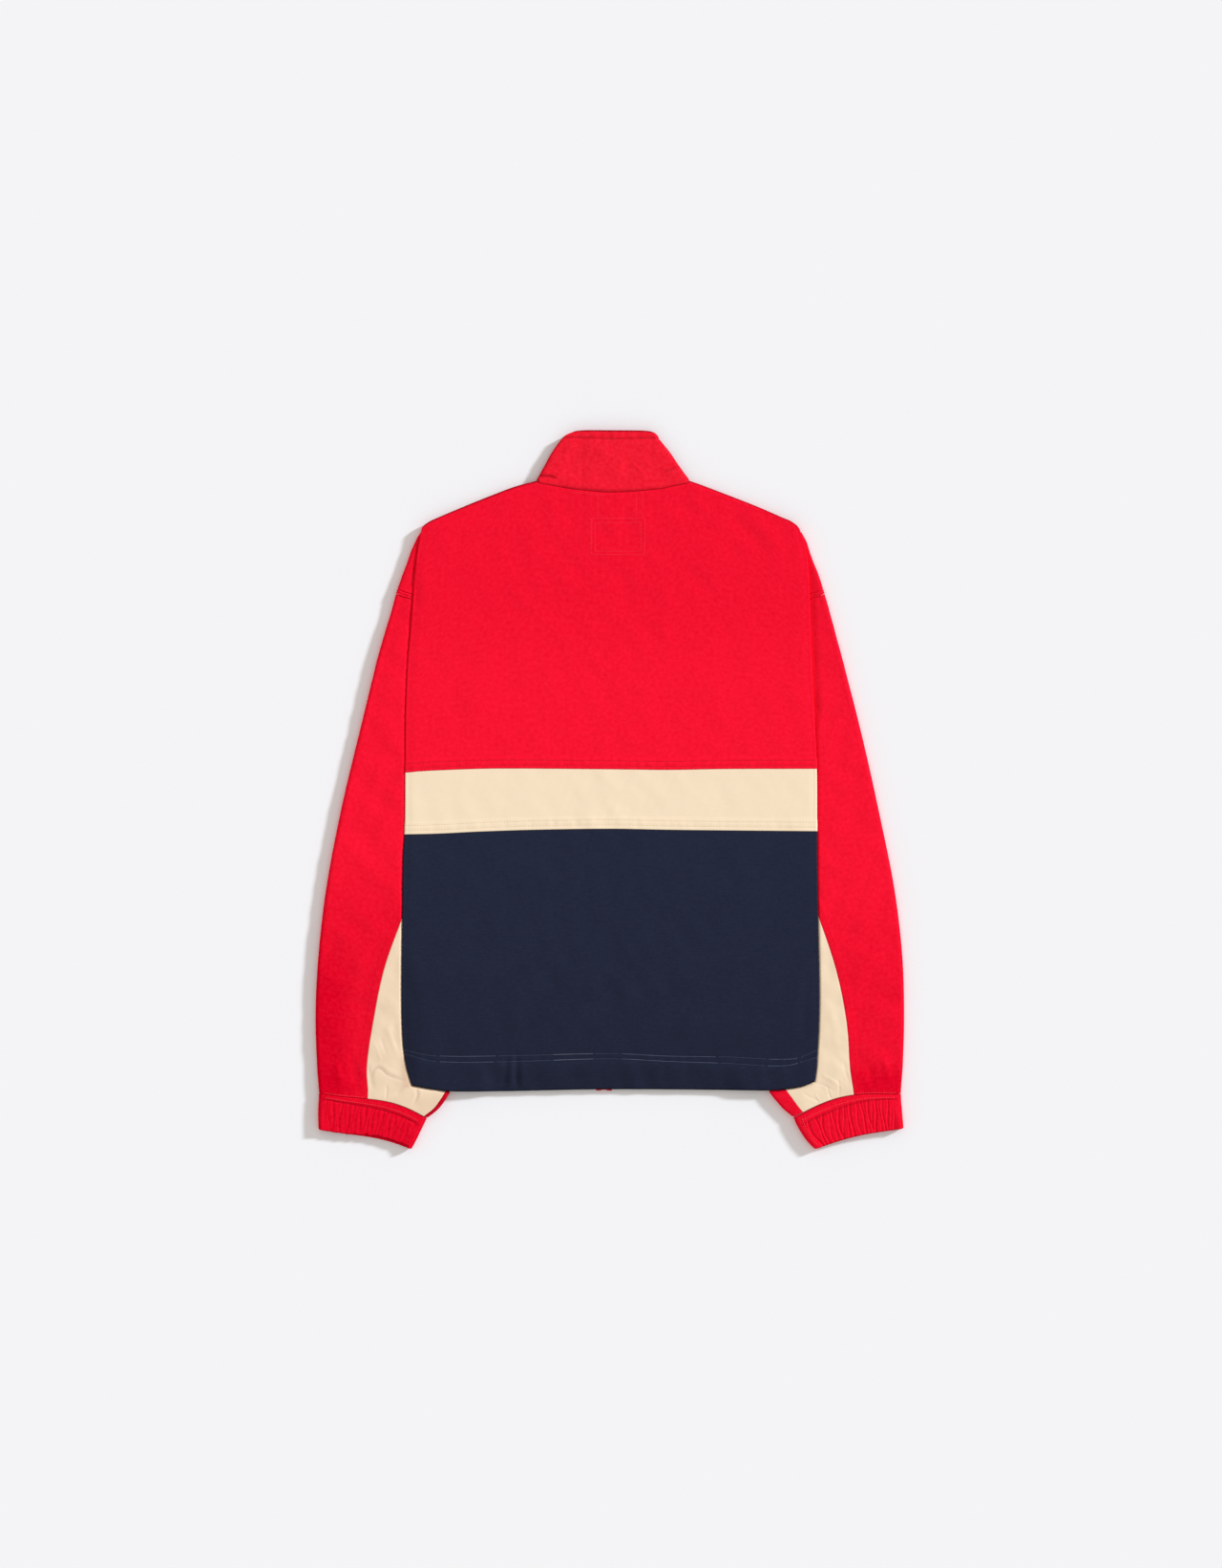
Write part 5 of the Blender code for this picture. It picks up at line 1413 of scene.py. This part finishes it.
def tube_flat(tube, position, v, top=True):
    """Both faces of a flattened tube, v of the way from its outer to its inner edge."""
    position, v = np.broadcast_arrays(position, v)
    cut, width, _, (first, last) = tube_frame(tube, position)
    x = lerp(first[0], last[0], v)
    y = lerp(first[1], last[1], v)
    skew = np.where(cut["out_x"] < 0, LEFT_SKEW, RIGHT_SKEW)
    y = y + cut.get("bow", 0.0) * np.sin(np.pi * np.clip(v, 0.0, 1.0) ** skew)
    z = tube.height(x, y) if top else np.zeros(np.shape(x))
    if top:
        y = y + armhole_rise(cut["out_y"], v * width)
    step = -tube.wall if top else tube.wall
    return np.stack([x, y, z], axis=-1), np.stack([x, y, z + step], axis=-1)


def tube_turn(tube, position, at_out, angles):
    """Both faces round a folded edge, at angles measured from its top."""
    position, angles = np.broadcast_arrays(position, angles)
    _, _, away, folds = tube_frame(tube, position)
    x, y, full = folds[0 if at_out else 1]
    sign = -1.0 if at_out else 1.0
    faces = []
    for cut_in in (0.0, tube.wall):
        radius = full - cut_in
        out = sign * radius * np.sin(angles)
        faces.append(np.stack([x + away[0] * out, y + away[1] * out,
                               full + radius * np.cos(angles)], axis=-1))
    return faces


def joined(parts):
    return [np.concatenate(face, axis=1) for face in zip(*parts)]


def tube_round(tube, position, floor_v, top_v, top_position=None):
    """Both faces right round a tube: inner fold, underside, outer fold, then top."""
    if top_position is None:
        top_position = position
    return joined([tube_turn(tube, position, False, TURN),
                   tube_flat(tube, position, floor_v, False),
                   tube_turn(tube, position, True, TURN[:, ::-1]),
                   tube_flat(tube, top_position, top_v)])


def closed(grid):
    return np.concatenate([grid, grid[:, :1]], axis=1)


def between(first, last, count):
    """Shares from first to last, without these two."""
    return np.linspace(first, last, count)[None, 1:-1]


def stations(tube, steps_first, steps_last, spacing):
    """Positions along a tube at given distances from its ends, and those distances."""
    fine = np.linspace(0, len(tube.table) - 1, 400)
    cut = section(tube.table, tube.names, fine)
    x = (cut["out_x"] + cut["in_x"]) / 2
    y = (cut["out_y"] + cut["in_y"]) / 2
    run = np.concatenate([[0], np.cumsum(np.hypot(np.diff(x), np.diff(y)))])
    total = run[-1]
    cells = int(round((total - steps_first[-1] - steps_last[-1]) / spacing))
    middle = np.linspace(steps_first[-1], total - steps_last[-1], cells + 1)
    at = np.concatenate([steps_first[:-1], middle, total - np.array(steps_last[:-1])[::-1]])
    return np.interp(at, run, fine), at, total


# ---------------------------------------------------------------- sleeves
SLEEVE_ROW_AT = (1.6, 5.6)
SLEEVE_END_ROW_AT = 1.7
END_STEPS = [0, 0.12, 0.35, 0.8, 1.6, 3.0]
MAIN_STEPS = np.array([0, 0.12, 0.35, 0.8, 1.5, 2.6, 3.7, 4.6, 5.6, 6.6, 7.6, 8.4, 9.4,
                       10.8, 13.0])
REAR_STEPS = np.array([0, 0.3, 0.8, 1.6, 3.2])
REAR_SHARES = np.array([0, 0.15, 0.35, 0.6, 0.85])    # of the room by the rear seam
CUFF_END = END_STEPS[:-1] + list(np.arange(3.0, 118.0, 1.9))     # finer near the cuff
SLEEVE_SPACING, DROP_SPACING, CUFF_SPACING = 3.1, 4.0, 0.9


def sleeve_lift(outer, inner, seam, start, end, row_at=None, edge_roll=SEAM_ROLL):
    normal = normals_of(outer, inner)
    x, y = plan(outer)
    lift = sleeve_relief(x, y) * up(normal)
    flat = 1.0 - smooth((normal[..., 2] + 0.9) / 0.5)
    lift = lift + under_relief(x, y) * flat
    lift = (lift - roll(seam, edge_roll) - roll(start, SEAM_ROLL)
            - roll(end, SEAM_ROLL))
    if row_at is not None:
        lift = lift + allowance(seam, y, row_at, 0.22, 101, 0.35)
    return lift


for hand, tube in SLEEVES.items():
    position, at, total = stations(tube, END_STEPS, CUFF_END, SLEEVE_SPACING)
    position = position[:, None]
    start = at[:, None]
    end = (total - at)[:, None]
    cut, width = tube_frame(tube, position)[:2]
    seam_out = cut["seam_out"]
    seam_in = np.where(cut["seam_in"] > 0.97, cut["seam_in"] + 0.008, cut["seam_in"])
    room_in = (1.0 - seam_in) * width - SEAM_EDGE
    near_in = seam_in + (SEAM_EDGE + np.minimum(REAR_STEPS, room_in * REAR_SHARES)) / width
    near_out = seam_out - (SEAM_EDGE + MAIN_STEPS[::-1]) / width
    top_v = np.concatenate([near_out[:, :1] * between(0, 1, 46), near_out], axis=1)
    outer, inner = joined([tube_flat(tube, position, near_in),
                           tube_round(tube, position, between(1, 0, 20), top_v)])
    seam = np.full(outer.shape[:2], FAR)
    seam[:, -top_v.shape[1]:] = (seam_out - top_v) * width
    rear = np.full(outer.shape[:2], FAR)
    rear[:, :len(REAR_STEPS)] = (near_in - seam_in) * width
    lift = sleeve_lift(outer, inner, seam, start, end, SLEEVE_ROW_AT) - roll(rear, SEAM_ROLL)
    if hand == "left":
        # painted shade along the left sleeve's rear seam, next to its cuff
        dark = np.zeros(lift.shape)
        dark[:, :12] = REAR_SEAM_PAINTED_SHADE * smooth((-316.0 - outer[:, :12, 1]) / 8.0)
    else:
        # painted shade on the rim that looks towards the light
        dark = LIT_RIM_PAINTED_SHADE * lit_edge(outer, inner)
    cloth = Cloth()
    cloth.add(outer, inner, lift, dark=dark)
    finish_piece(cloth, "sleeve_main_" + hand, red_cloth, (0.46, 0.60), ["floor"])

    room = (seam_in - seam_out) * width
    near = (np.array(END_STEPS) + SEAM_EDGE)[None]
    inset = near[:, -1:]
    across = np.concatenate([np.broadcast_to(near, (len(room), near.shape[1])),
                             lerp(inset, room - inset, between(0, 1, 72)),
                             room - near[:, ::-1]], axis=1)
    outer, inner = tube_flat(tube, position, seam_out + across / width)
    lift = sleeve_lift(outer, inner, across, start, end, None, 0.9) - roll(room - across, SEAM_ROLL)
    cloth = Cloth()
    # painted shade along a crease of the cream panel
    cloth.add(outer, inner, lift, dark=sharp_creases(*plan(outer), PANEL_CREASE_PAINTED_SHADE))
    finish_piece(cloth, "sleeve_panel_" + hand, cream_cloth, (0.14, 0.60),
                 ["sleeve_main_" + hand])

# ---------------------------------------------------------------- shoulder drops
DROP_ROW_AT = (3.3, 8.6)
DROP_STEPS = [0, 0.12, 0.35, 0.8, 1.6, 2.6, 3.3, 4.2, 5.2, 6.2, 7.0, 7.8, 8.6, 9.4, 10.2,
              11.4]


def drop_lift(outer, inner, start, end):
    lift = sleeve_lift(outer, inner, FAR, start, end)
    strong = groove(start, DROP_ROW_AT[1], 0.95, 1.1) + groove(start, DROP_ROW_AT[0], 0.35)
    return lift + allowance(start, outer[..., 0], DROP_ROW_AT, 0.55, 111, 0.9) + strong


for hand, tube in DROPS.items():
    position, at, total = stations(tube, DROP_STEPS, END_STEPS, DROP_SPACING)
    outer, inner = map(closed, tube_round(tube, position[:, None], between(1, 0, 30),
                                          between(0, 1, 46)))
    # painted shade on the right drop's rim that looks towards the light
    dark = LIT_RIM_PAINTED_SHADE * lit_edge(outer, inner) if hand == "right" else 0.0
    cloth = Cloth()
    cloth.add(outer, inner, drop_lift(outer, inner, at[:, None], (total - at)[:, None]),
              dark=dark)
    finish_piece(cloth, "shoulder_drop_" + hand, red_cloth, (0.41, 0.12), ["floor"])

# ---------------------------------------------------------------- cuffs
BAND_OUT = 5.6        # depth of the casing above the gathers, outer and inner side
BAND_IN = 10.0
# each gather: where it starts and ends along the cuff's edges, width, depth
FOLDS_LEFT = [
    (0.035, 0.03, 1.1, 0.35), (0.075, 0.08, 1.0, 0.25), (0.12, 0.115, 1.3, 0.45),
    (0.16, 0.165, 1.0, 0.25), (0.20, 0.195, 1.2, 0.40), (0.245, 0.25, 1.0, 0.30),
    (0.285, 0.28, 1.3, 0.50), (0.325, 0.33, 1.0, 0.25), (0.37, 0.365, 1.2, 0.40),
    (0.41, 0.415, 1.1, 0.35), (0.455, 0.45, 1.3, 0.50), (0.50, 0.51, 1.0, 0.30),
    (0.545, 0.55, 1.2, 0.45), (0.59, 0.585, 1.1, 0.35), (0.63, 0.64, 1.3, 0.45),
    (0.675, 0.67, 1.0, 0.25), (0.72, 0.73, 1.2, 0.45), (0.765, 0.77, 1.1, 0.35),
    (0.81, 0.80, 1.2, 0.40), (0.855, 0.86, 1.0, 0.30), (0.90, 0.91, 1.2, 0.40),
    (0.95, 0.955, 1.1, 0.30)]
FOLDS_RIGHT = [
    (0.032, 0.075, 0.8, 0.54), (0.068, 0.105, 0.7, 0.34), (0.105, 0.132, 0.9, 0.88),
    (0.157, 0.181, 0.8, 0.61), (0.195, 0.225, 0.7, 0.41), (0.229, 0.280, 1.0, 1.08),
    (0.270, 0.305, 0.7, 0.41), (0.309, 0.329, 0.9, 0.81), (0.345, 0.362, 0.7, 0.41),
    (0.381, 0.394, 0.9, 0.94), (0.433, 0.461, 0.8, 0.68), (0.489, 0.559, 1.0, 1.15),
    (0.530, 0.600, 0.7, 0.41), (0.558, 0.665, 0.8, 0.68), (0.613, 0.690, 1.0, 1.15),
    (0.675, 0.745, 0.8, 0.54), (0.725, 0.790, 0.8, 0.61), (0.781, 0.864, 0.9, 1.01),
    (0.847, 0.887, 0.9, 0.88), (0.933, 0.937, 1.0, 1.35)]
CUFF_DROOP = 1.3       # how much lower the top of a cuff lies at its end
DROOP_FROM = 13.6
CUFF_SOFT = 0.16       # share of a fold's depth that reaches into the band above it


def band_height(v):
    return lerp(BAND_OUT, BAND_IN, smooth(v / 0.75))


def cuff_lift(folds, v, s, length, width):
    """Gathers from the casing's second line of stitching to the end."""
    high = band_height(v)
    reach = smooth((s - high + 0.8) / 2.2)
    f = np.clip((s - high) / (length - high), 0.0, 1.0)
    total = 0.35 * reach
    for v0, v1, wide, depth in folds:
        place = lerp(v0, v1, f) + 0.010 * np.sin(f * 5.0 + v0 * 40.0)
        away = (v - place) * width
        deep = depth * (0.8 + 0.2 * np.sin(f * 4.0 + v1 * 60.0))
        total = total - deep * bell(away, wide) * reach
        total = total + 0.3 * deep * bell(away - 2.2 * wide, wide) * reach
        soft = bell(away, wide * 1.4)
        total = total - CUFF_SOFT * depth * soft * (1.0 - reach) * smooth((s - 1.5) / 3.0)
    band = 0.55 * np.sin(np.pi * np.clip(s / high, 0, 1)) ** 0.6
    droop = CUFF_DROOP * smooth((s - DROOP_FROM) / (length - DROOP_FROM))
    return total + band + groove(s, high, 0.7, 0.8) + groove(s, 1.9, 0.25, 0.7) - droop


FLAT_FROM = 1 / 14       # share of a cuff's width by which its flat sides are fully gathered


def off_folds(v):
    """1 on a cuff's flat sides, fading to 0 where they turn into its folds."""
    return smooth(v / FLAT_FROM) * smooth((1.0 - v) / FLAT_FROM)


def cuff_sag(v, s, length):
    return -CUFF_DROOP * smooth((s - DROOP_FROM) / (length - DROOP_FROM)) * off_folds(v)


def pull_left(v):
    """How far, in rows of its table, the end of the left cuff is drawn back."""
    return 0.26 * smooth((v - 0.25) / 0.4) + 0.05 * ripple(v, 121, 0.06, 0.16) * smooth(v * 5)


FOLDS = {"left": FOLDS_LEFT, "right": FOLDS_RIGHT}
CUFF_STEPS = [0, 0.12, 0.35, 0.8, 1.6, 2.6]
CUFF_LAST = [0, 0.1, 0.3, 0.6, 1.15, 2.2]
CUFF_ROLL = 1.2
for hand, tube in CUFFS.items():
    position, at, total = stations(tube, CUFF_STEPS, CUFF_LAST, CUFF_SPACING)
    position = position[:, None]
    s = at[:, None]
    top_v = between(0, 1, 210)
    floor_v = between(1, 0, 36)
    back = pull_left(top_v) if hand == "left" else 0.0 * top_v
    outer, inner = tube_round(tube, position, floor_v, top_v,
                              position - back * (position / position[-1]) ** 2)
    width = tube_frame(tube, position)[1]
    lift = np.zeros(outer.shape[:2])
    top = slice(-top_v.shape[1], None)
    lift[:, top] = cuff_lift(FOLDS[hand], top_v, s, total, width) * off_folds(top_v)
    under = cuff_lift(FOLDS_LEFT, floor_v, s, total, width) - cuff_sag(floor_v, s, total) - 0.9
    lift[:, ARC + 1:ARC + 1 + floor_v.shape[1]] = np.minimum(under, 0.0) * off_folds(floor_v)
    lift = lift - roll(s, 0.8) - roll(total - s, CUFF_ROLL)
    thin = np.broadcast_to(roll(total - s, CUFF_ROLL), lift.shape).copy()
    thin[:, top] += cuff_sag(top_v, s, total)
    # painted shade on the rims that look towards the light
    dark = LIT_RIM_PAINTED_SHADE * lit_edge(outer, inner)
    # over the top, painted shade in the groove of the second stitching, under the seam and at the
    # open end
    under_seam = smooth((2.6 - s) / 1.6) * smooth((top_v - 0.35) / 0.1)
    dark[:, top] = (CUFF_ROW_PAINTED_SHADE * bell(s - band_height(top_v), 0.9)
                    + CUFF_SEAM_PAINTED_SHADE * under_seam
                    + CUFF_END_PAINTED_SHADE * smooth((s - total + 1.5) / 1.2))
    cloth = Cloth()
    cloth.add(*map(closed, (outer, inner, lift, thin)), dark=closed(dark))
    finish_piece(cloth, "cuff_" + hand, red_cloth, (0.25, 0.045), ["floor"])


# ---------------------------------------------------------------- stitching
def stitches(name, lines, material, pitch=3.3, length=2.6, radius=0.25, proud=0.05):
    """Sewn lines: short rounded threads that dip into the cloth at both ends."""
    shares = np.array([0.0, 0.18, 0.82, 1.0])
    sizes = np.array([0.25, 1.0, 1.0, 0.25])
    dips = np.array([-1.0, 0.1, 0.1, -1.0]) * radius * 0.8
    sides = 5
    per = len(shares) * sides
    quads = np.array([[j * sides + k, j * sides + (k + 1) % sides,
                       (j + 1) * sides + (k + 1) % sides, (j + 1) * sides + k]
                      for j in range(len(shares) - 1) for k in range(sides)])
    verts = []
    faces = []
    count = 0
    for points, normals in lines:
        run = np.concatenate([[0], np.cumsum(np.linalg.norm(np.diff(points, axis=0), axis=1))])
        number = int((run[-1] - length) // pitch) + 1
        if number < 1:
            continue
        begin = (run[-1] - (number - 1) * pitch - length) / 2 + np.arange(number) * pitch
        at = begin[:, None] + shares[None] * length
        centre, up_way = (np.stack([np.interp(at, run, p[:, k]) for k in range(3)], axis=-1)
                          for p in (points, normals))
        up_way /= np.linalg.norm(up_way, axis=-1, keepdims=True)
        ahead = np.gradient(centre, axis=1)
        ahead /= np.linalg.norm(ahead, axis=-1, keepdims=True)
        across = np.cross(ahead, up_way)
        across /= np.linalg.norm(across, axis=-1, keepdims=True)
        middle = centre + up_way * (proud + dips)[None, :, None]
        ring = []
        for k in range(sides):
            turn = 2 * math.pi * k / sides
            ring.append(middle + (across * math.cos(turn) + up_way * math.sin(turn) * 0.8)
                        * (radius * sizes)[None, :, None])
        ring = np.stack(ring, axis=2).reshape(number, -1, 3)
        ring[..., 2] = np.maximum(ring[..., 2], THREAD_FLOOR)
        verts.append(ring.reshape(-1, 3))
        offset = count + np.arange(number) * per
        faces.append((quads[None] + offset[:, None, None]).reshape(-1, 4))
        count += number * per
    item = plain_object(name, (np.concatenate(verts) * MM).tolist(),
                        np.concatenate(faces).tolist(), material, rounded=True)
    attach(item, "garment")


def on_surface(outer, inner, lift, chosen=slice(None)):
    """Points of the finished cloth and the ways that it faces there."""
    normal = normals_of(outer, inner)
    return (outer + normal * lift[..., None])[chosen], normal[chosen]


def back_line(row, edges):
    outer, inner, base = back_ring(row)
    lift = back_lift(outer, inner, base, edges)
    return on_surface(outer, inner, lift)


def front_line(at, front, left):
    """A line of stitching at a distance above the lower seam of a front."""
    outer, inner, edge, start = front_ring(Row(front.low, front.high, at, 0, 0), left)
    return on_surface(outer, inner, front_lift(outer, edge, start, front.seams), start > 1.0)


def down_front(front, steps, cells, left):
    """A line of stitching beside the zip, up one panel of the front."""
    rows = rows_between(front.low, front.high, steps, [1.0, 5.0], cells, 0, 0)
    outer, inner, edge, start = front_rings(rows, left)
    column = -1 - int(np.argmin(np.abs(FRONT_NEAR[::-1] - ZIP_ROW_AT)))
    return on_surface(outer, inner, front_lift(outer, edge, start, front.seams),
                      np.s_[:, column])


def places(tube, at, spacing=1.0):
    """Positions at distances from a tube's start, or from its end where below 0."""
    position, run, total = stations(tube, [0, 1], [0, 1], spacing)
    at = np.asarray(at)
    return np.interp(np.where(at < 0, total + at, at), run, position), total


red_lines, cream_lines, hem_lines, bright_lines, faint_lines = [], [], [], [], []
# the hem's two lines catch the light in some stretches and not in others
HEM_STRETCHES = ((-400, -190, faint_lines), (-190, -126, hem_lines), (-126, -64, faint_lines),
                 (-64, -18, bright_lines), (-18, 12, faint_lines), (12, 120, hem_lines),
                 (120, 174, faint_lines), (174, 208, hem_lines), (208, 400, faint_lines))
for line in (hem_row_high_y, hem_row_low_y):
    points, normals = back_line(Row(line, line, 0.0, 0.0, 0.0), lower_edges)
    for low, high, group in HEM_STRETCHES:
        part = (points[:, 0] >= low) & (points[:, 0] < high)
        group.append((points[part], normals[part]))
for name, group, back, heights, low_steps, cells in (
        ("yoke", red_lines, (top_row_y, yoke_edges), YOKE_ROW_AT, [1.0, 5.0], 40),
        ("band", cream_lines, (band_high_y, band_edges), BAND_ROW_AT, [1.0, 5.0], 12),
        ("lower", faint_lines, None, FRONT_HEM_ROW_AT, [1.5, 5.0], 40)):
    front = FRONTS[name]
    for at in heights:
        if back:
            group.append(back_line(Row(front.low, back[0], at, 0, 0), back[1]))
        group.extend(front_line(at, front, left) for left in (True, False))
    group.extend(down_front(front, low_steps, cells, left) for left in (True, False))

sleeve_lines, cuff_lines, cuff_light = [], [], []
for tube in SLEEVES.values():
    position = np.linspace(0.01, len(tube.table) - 1.01, 220)[:, None]
    cut, width = tube_frame(tube, position)[:2]
    at = SLEEVE_ROW_AT[0]
    outer, inner = tube_flat(tube, position, cut["seam_out"] - at / width)
    lift = sleeve_lift(outer, inner, np.full(outer.shape[:2], at), 50.0, 50.0, SLEEVE_ROW_AT)
    sleeve_lines.append(on_surface(outer, inner, lift, np.s_[:, 0]))
for tube in DROPS.values():
    for at in DROP_ROW_AT:
        position = places(tube, [[at]], DROP_SPACING)[0]
        outer, inner = map(closed, tube_round(tube, position, between(1, 0, 40),
                                              between(0, 1, 80)))
        lift = drop_lift(outer, inner, np.full((1, 1), at), np.full((1, 1), 99.0))
        red_lines.append(on_surface(outer, inner, lift, 0))
for hand, tube in CUFFS.items():
    for share, group in ((0.6, cuff_light), (1.0, cuff_lines)):
        v = np.linspace(0.02, 0.98, 160)[None]
        at = band_height(v) * share
        position, total = places(tube, at)
        outer, inner = tube_flat(tube, position, v)
        width = tube_frame(tube, position)[1]
        lift = cuff_lift(FOLDS[hand], v, at, total, width) * off_folds(v)
        group.append(on_surface(outer, inner, lift, 0))

# dashes along each sleeve's end, and one line up the right cuff
for tube in SLEEVES.values():
    position = places(tube, [[-SLEEVE_END_ROW_AT]])[0]
    cut, width = tube_frame(tube, position)[:2]
    v = np.linspace(0.03, 1.0, 60)[None] * (cut["seam_out"] - 2.0 / width)
    outer, inner = tube_flat(tube, position, v)
    lift = sleeve_lift(outer, inner, np.full(v.shape, FAR), 99.0, SLEEVE_END_ROW_AT)
    cuff_light.append(on_surface(outer, inner, lift, 0))
position, s, total = stations(CUFFS["right"], [0, 1], [0, 1], 1.0)
position, s = position[3:-3, None], s[3:-3, None]
v = lerp(0.966, 0.980, s / total)
outer, inner = tube_flat(CUFFS["right"], position, v)
width = tube_frame(CUFFS["right"], position)[1]
lift = cuff_lift(FOLDS_RIGHT, v, s, total, width) * smooth((1.0 - v) * 14.0)
cuff_light.append(on_surface(outer, inner, lift, np.s_[:, 0]))

line_t = 1 - COLLAR_ROW_AT / COLLAR_SIZE
outer, inner = collar_row(line_t)
collar_line = on_surface(outer, inner, collar_lift(outer, inner, line_t))


def yoke_point(x, y):
    outer = np.stack([x, y, body_top(x, y)], axis=-1)
    inner = outer - np.array([0, 0, WALL])
    lift = body_relief(x, y) + settle(outer[..., 2]) + yoke_edges(x, y)
    return on_surface(outer, inner, lift)


def straight(x0, y0, x1, y1):
    t = np.linspace(0, 1, 40)
    return yoke_point(lerp(x0, x1, t), lerp(y0, y1, t))


# a bare patch of stitching under the collar, and the lines above it
left, low, right, high = -20.8, 260.0, 38.6, 300.0
label_lines = [straight(*line) for line in (
    (left, high, right, high), (left, low, right, low),
    (left, low, left, high), (right, low, right, high),
    (left + 4.4, high - 4.6, right - 4.2, high - 4.6),
    (left + 4.4, low + 3.8, right - 4.2, low + 3.8),
    (left + 4.6, low + 3.8, left + 4.6, high - 4.6),
    (right - 4.4, low + 3.8, right - 4.4, high - 4.6),
    (-13.5, 302.0, -13.5, 327.5), (29.0, 302.0, 29.0, 329.0), (36.0, 302.0, 36.0, 329.0))]
neck_x = np.linspace(-43.0, -7.0, 60)
neck_line = yoke_point(neck_x, neck_y(neck_x) - 3.2)

for name, lines, material, sizes in (
        ("red", red_lines, shaded_red_stitching, ()),
        ("sleeves", sleeve_lines, red_thread, (2.6, 1.9, 0.17)),
        ("cream", cream_lines, cream_thread, ()),
        ("hem", hem_lines, lower_thread_painted_half_lit, (2.6, 1.7, 0.22)),
        ("hem_middle", bright_lines, lower_thread_painted_lit, (2.6, 1.7, 0.24, 0.1)),
        ("hem_faint", faint_lines, lower_thread_painted_shade, (2.6, 1.7, 0.22)),
        ("cuffs", cuff_lines, shaded_red_stitching, (2.9, 2.3)),
        ("cuffs_light", cuff_light, cuff_thread, (2.9, 1.7, 0.22, 0.12)),
        ("collar", [collar_line], shaded_red_stitching, ()),
        ("neck", [neck_line], light_thread, (2.6, 1.9, 0.17)),
        ("label", label_lines, light_thread, (2.6, 1.9, 0.17))):
    stitches("stitching_" + name, lines, material, *sizes)

# ---------------------------------------------------------------- zip
TOOTH_PITCH = 2.6      # of one row; the other stands half of it on
TEETH_LOW = 1.0
TEETH_HIGH = 3.3
TEETH_START = -321.0
TEETH_END = 320.0


def zip_teeth():
    """Moulded teeth, each with a stem on its tape and a round head past the middle."""
    outline = [(-2.6, -0.62), (-0.2, -0.42), (0.35, -0.62), (0.85, -0.45), (1.05, 0.0),
               (0.85, 0.45), (0.35, 0.62), (-0.2, 0.42), (-2.6, 0.62)]
    verts = []
    faces = []
    y = TEETH_START
    side = 1.0
    while y < TEETH_END:
        base = float(under_body(CENTRE_FRONT, y))
        start = len(verts)
        for inset, height in ((0.95, TEETH_LOW), (1.0, TEETH_HIGH - 0.3), (0.86, TEETH_HIGH)):
            for ox, oy in outline:
                verts.append(((CENTRE_FRONT + side * ox * (inset if ox > 0 else 1.0)) * MM,
                              (y + oy * inset) * MM, (base + height) * MM))
        n = len(outline)
        tooth = []
        for j in range(2):
            for k in range(n):
                a = start + j * n + k
                b = start + j * n + (k + 1) % n
                tooth.append((a, b, b + n, a + n))
        tooth.append(tuple(range(start, start + n))[::-1])
        tooth.append(tuple(range(start + 2 * n, start + 3 * n)))
        faces += tooth if side > 0 else [face[::-1] for face in tooth]
        y += TOOTH_PITCH / 2
        side = -side
    item = plain_object("zip_tooth_rows", verts, faces, teeth_plastic)
    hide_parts("zip_teeth")
    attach(item, "garment")


zip_teeth()


for name, material in (("zip_tape_left", tape_cloth), ("zip_tape_right", tape_cloth),
                       ("zip_box", teeth_plastic), ("zip_slider", dark_metal),
                       ("zip_pull", dark_metal)):
    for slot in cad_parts[name].material_slots:
        slot.material = material

for node_name, (item, flat, area, rests_on) in pieces.items():
    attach(item, "garment")

# ---------------------------------------------------------------- floor, light, camera
FLOOR_HALF = 9.0       # metres
floor_look = Look("pale_floor")
floor_look.fill(floor_look.shader, {"Base Color": (0.890, 0.890, 0.908, 1.0),
                                    "Roughness": 1.0, "Specular IOR Level": 0.0})
corners = [(x * FLOOR_HALF, y * FLOOR_HALF, 0) for x, y in ((-1, -1), (1, -1), (1, 1), (-1, 1))]
plain_object("floor", corners, [(0, 1, 2, 3)], floor_look.material)

world = bpy.data.worlds.new("studio")
world.use_nodes = True
backdrop = world.node_tree.nodes["Background"]
backdrop.inputs["Color"].default_value = (1.0, 0.962, 0.917, 1.0)
backdrop.inputs["Strength"].default_value = 0.665
bpy.context.scene.world = world

SUN_TRAVEL = Vector((-0.830, -0.442, -0.342))
sun = bpy.data.lights.new("key", "SUN")
sun.color = (0.869, 0.931, 1.0)
sun.energy = 3.72
sun.angle = math.radians(6.0)
sun_item = bpy.data.objects.new("key", sun)
sun_item.rotation_mode = "QUATERNION"
sun_item.rotation_quaternion = SUN_TRAVEL.to_track_quat("-Z", "Y")
bpy.context.scene.collection.objects.link(sun_item)

camera = bpy.data.cameras.new("camera")
camera.sensor_width = 36.0
camera.lens = 124.5
camera.clip_end = 60.0
camera_item = bpy.data.objects.new("camera", camera)
camera_item.location = (0.00127, 0.00654, 6.0)
camera_item.rotation_euler = (0.0, 0.0, 0.0)
bpy.context.scene.collection.objects.link(camera_item)
bpy.context.scene.camera = camera_item
bpy.context.scene.view_settings.view_transform = "Standard"
bpy.context.scene.view_settings.look = "None"
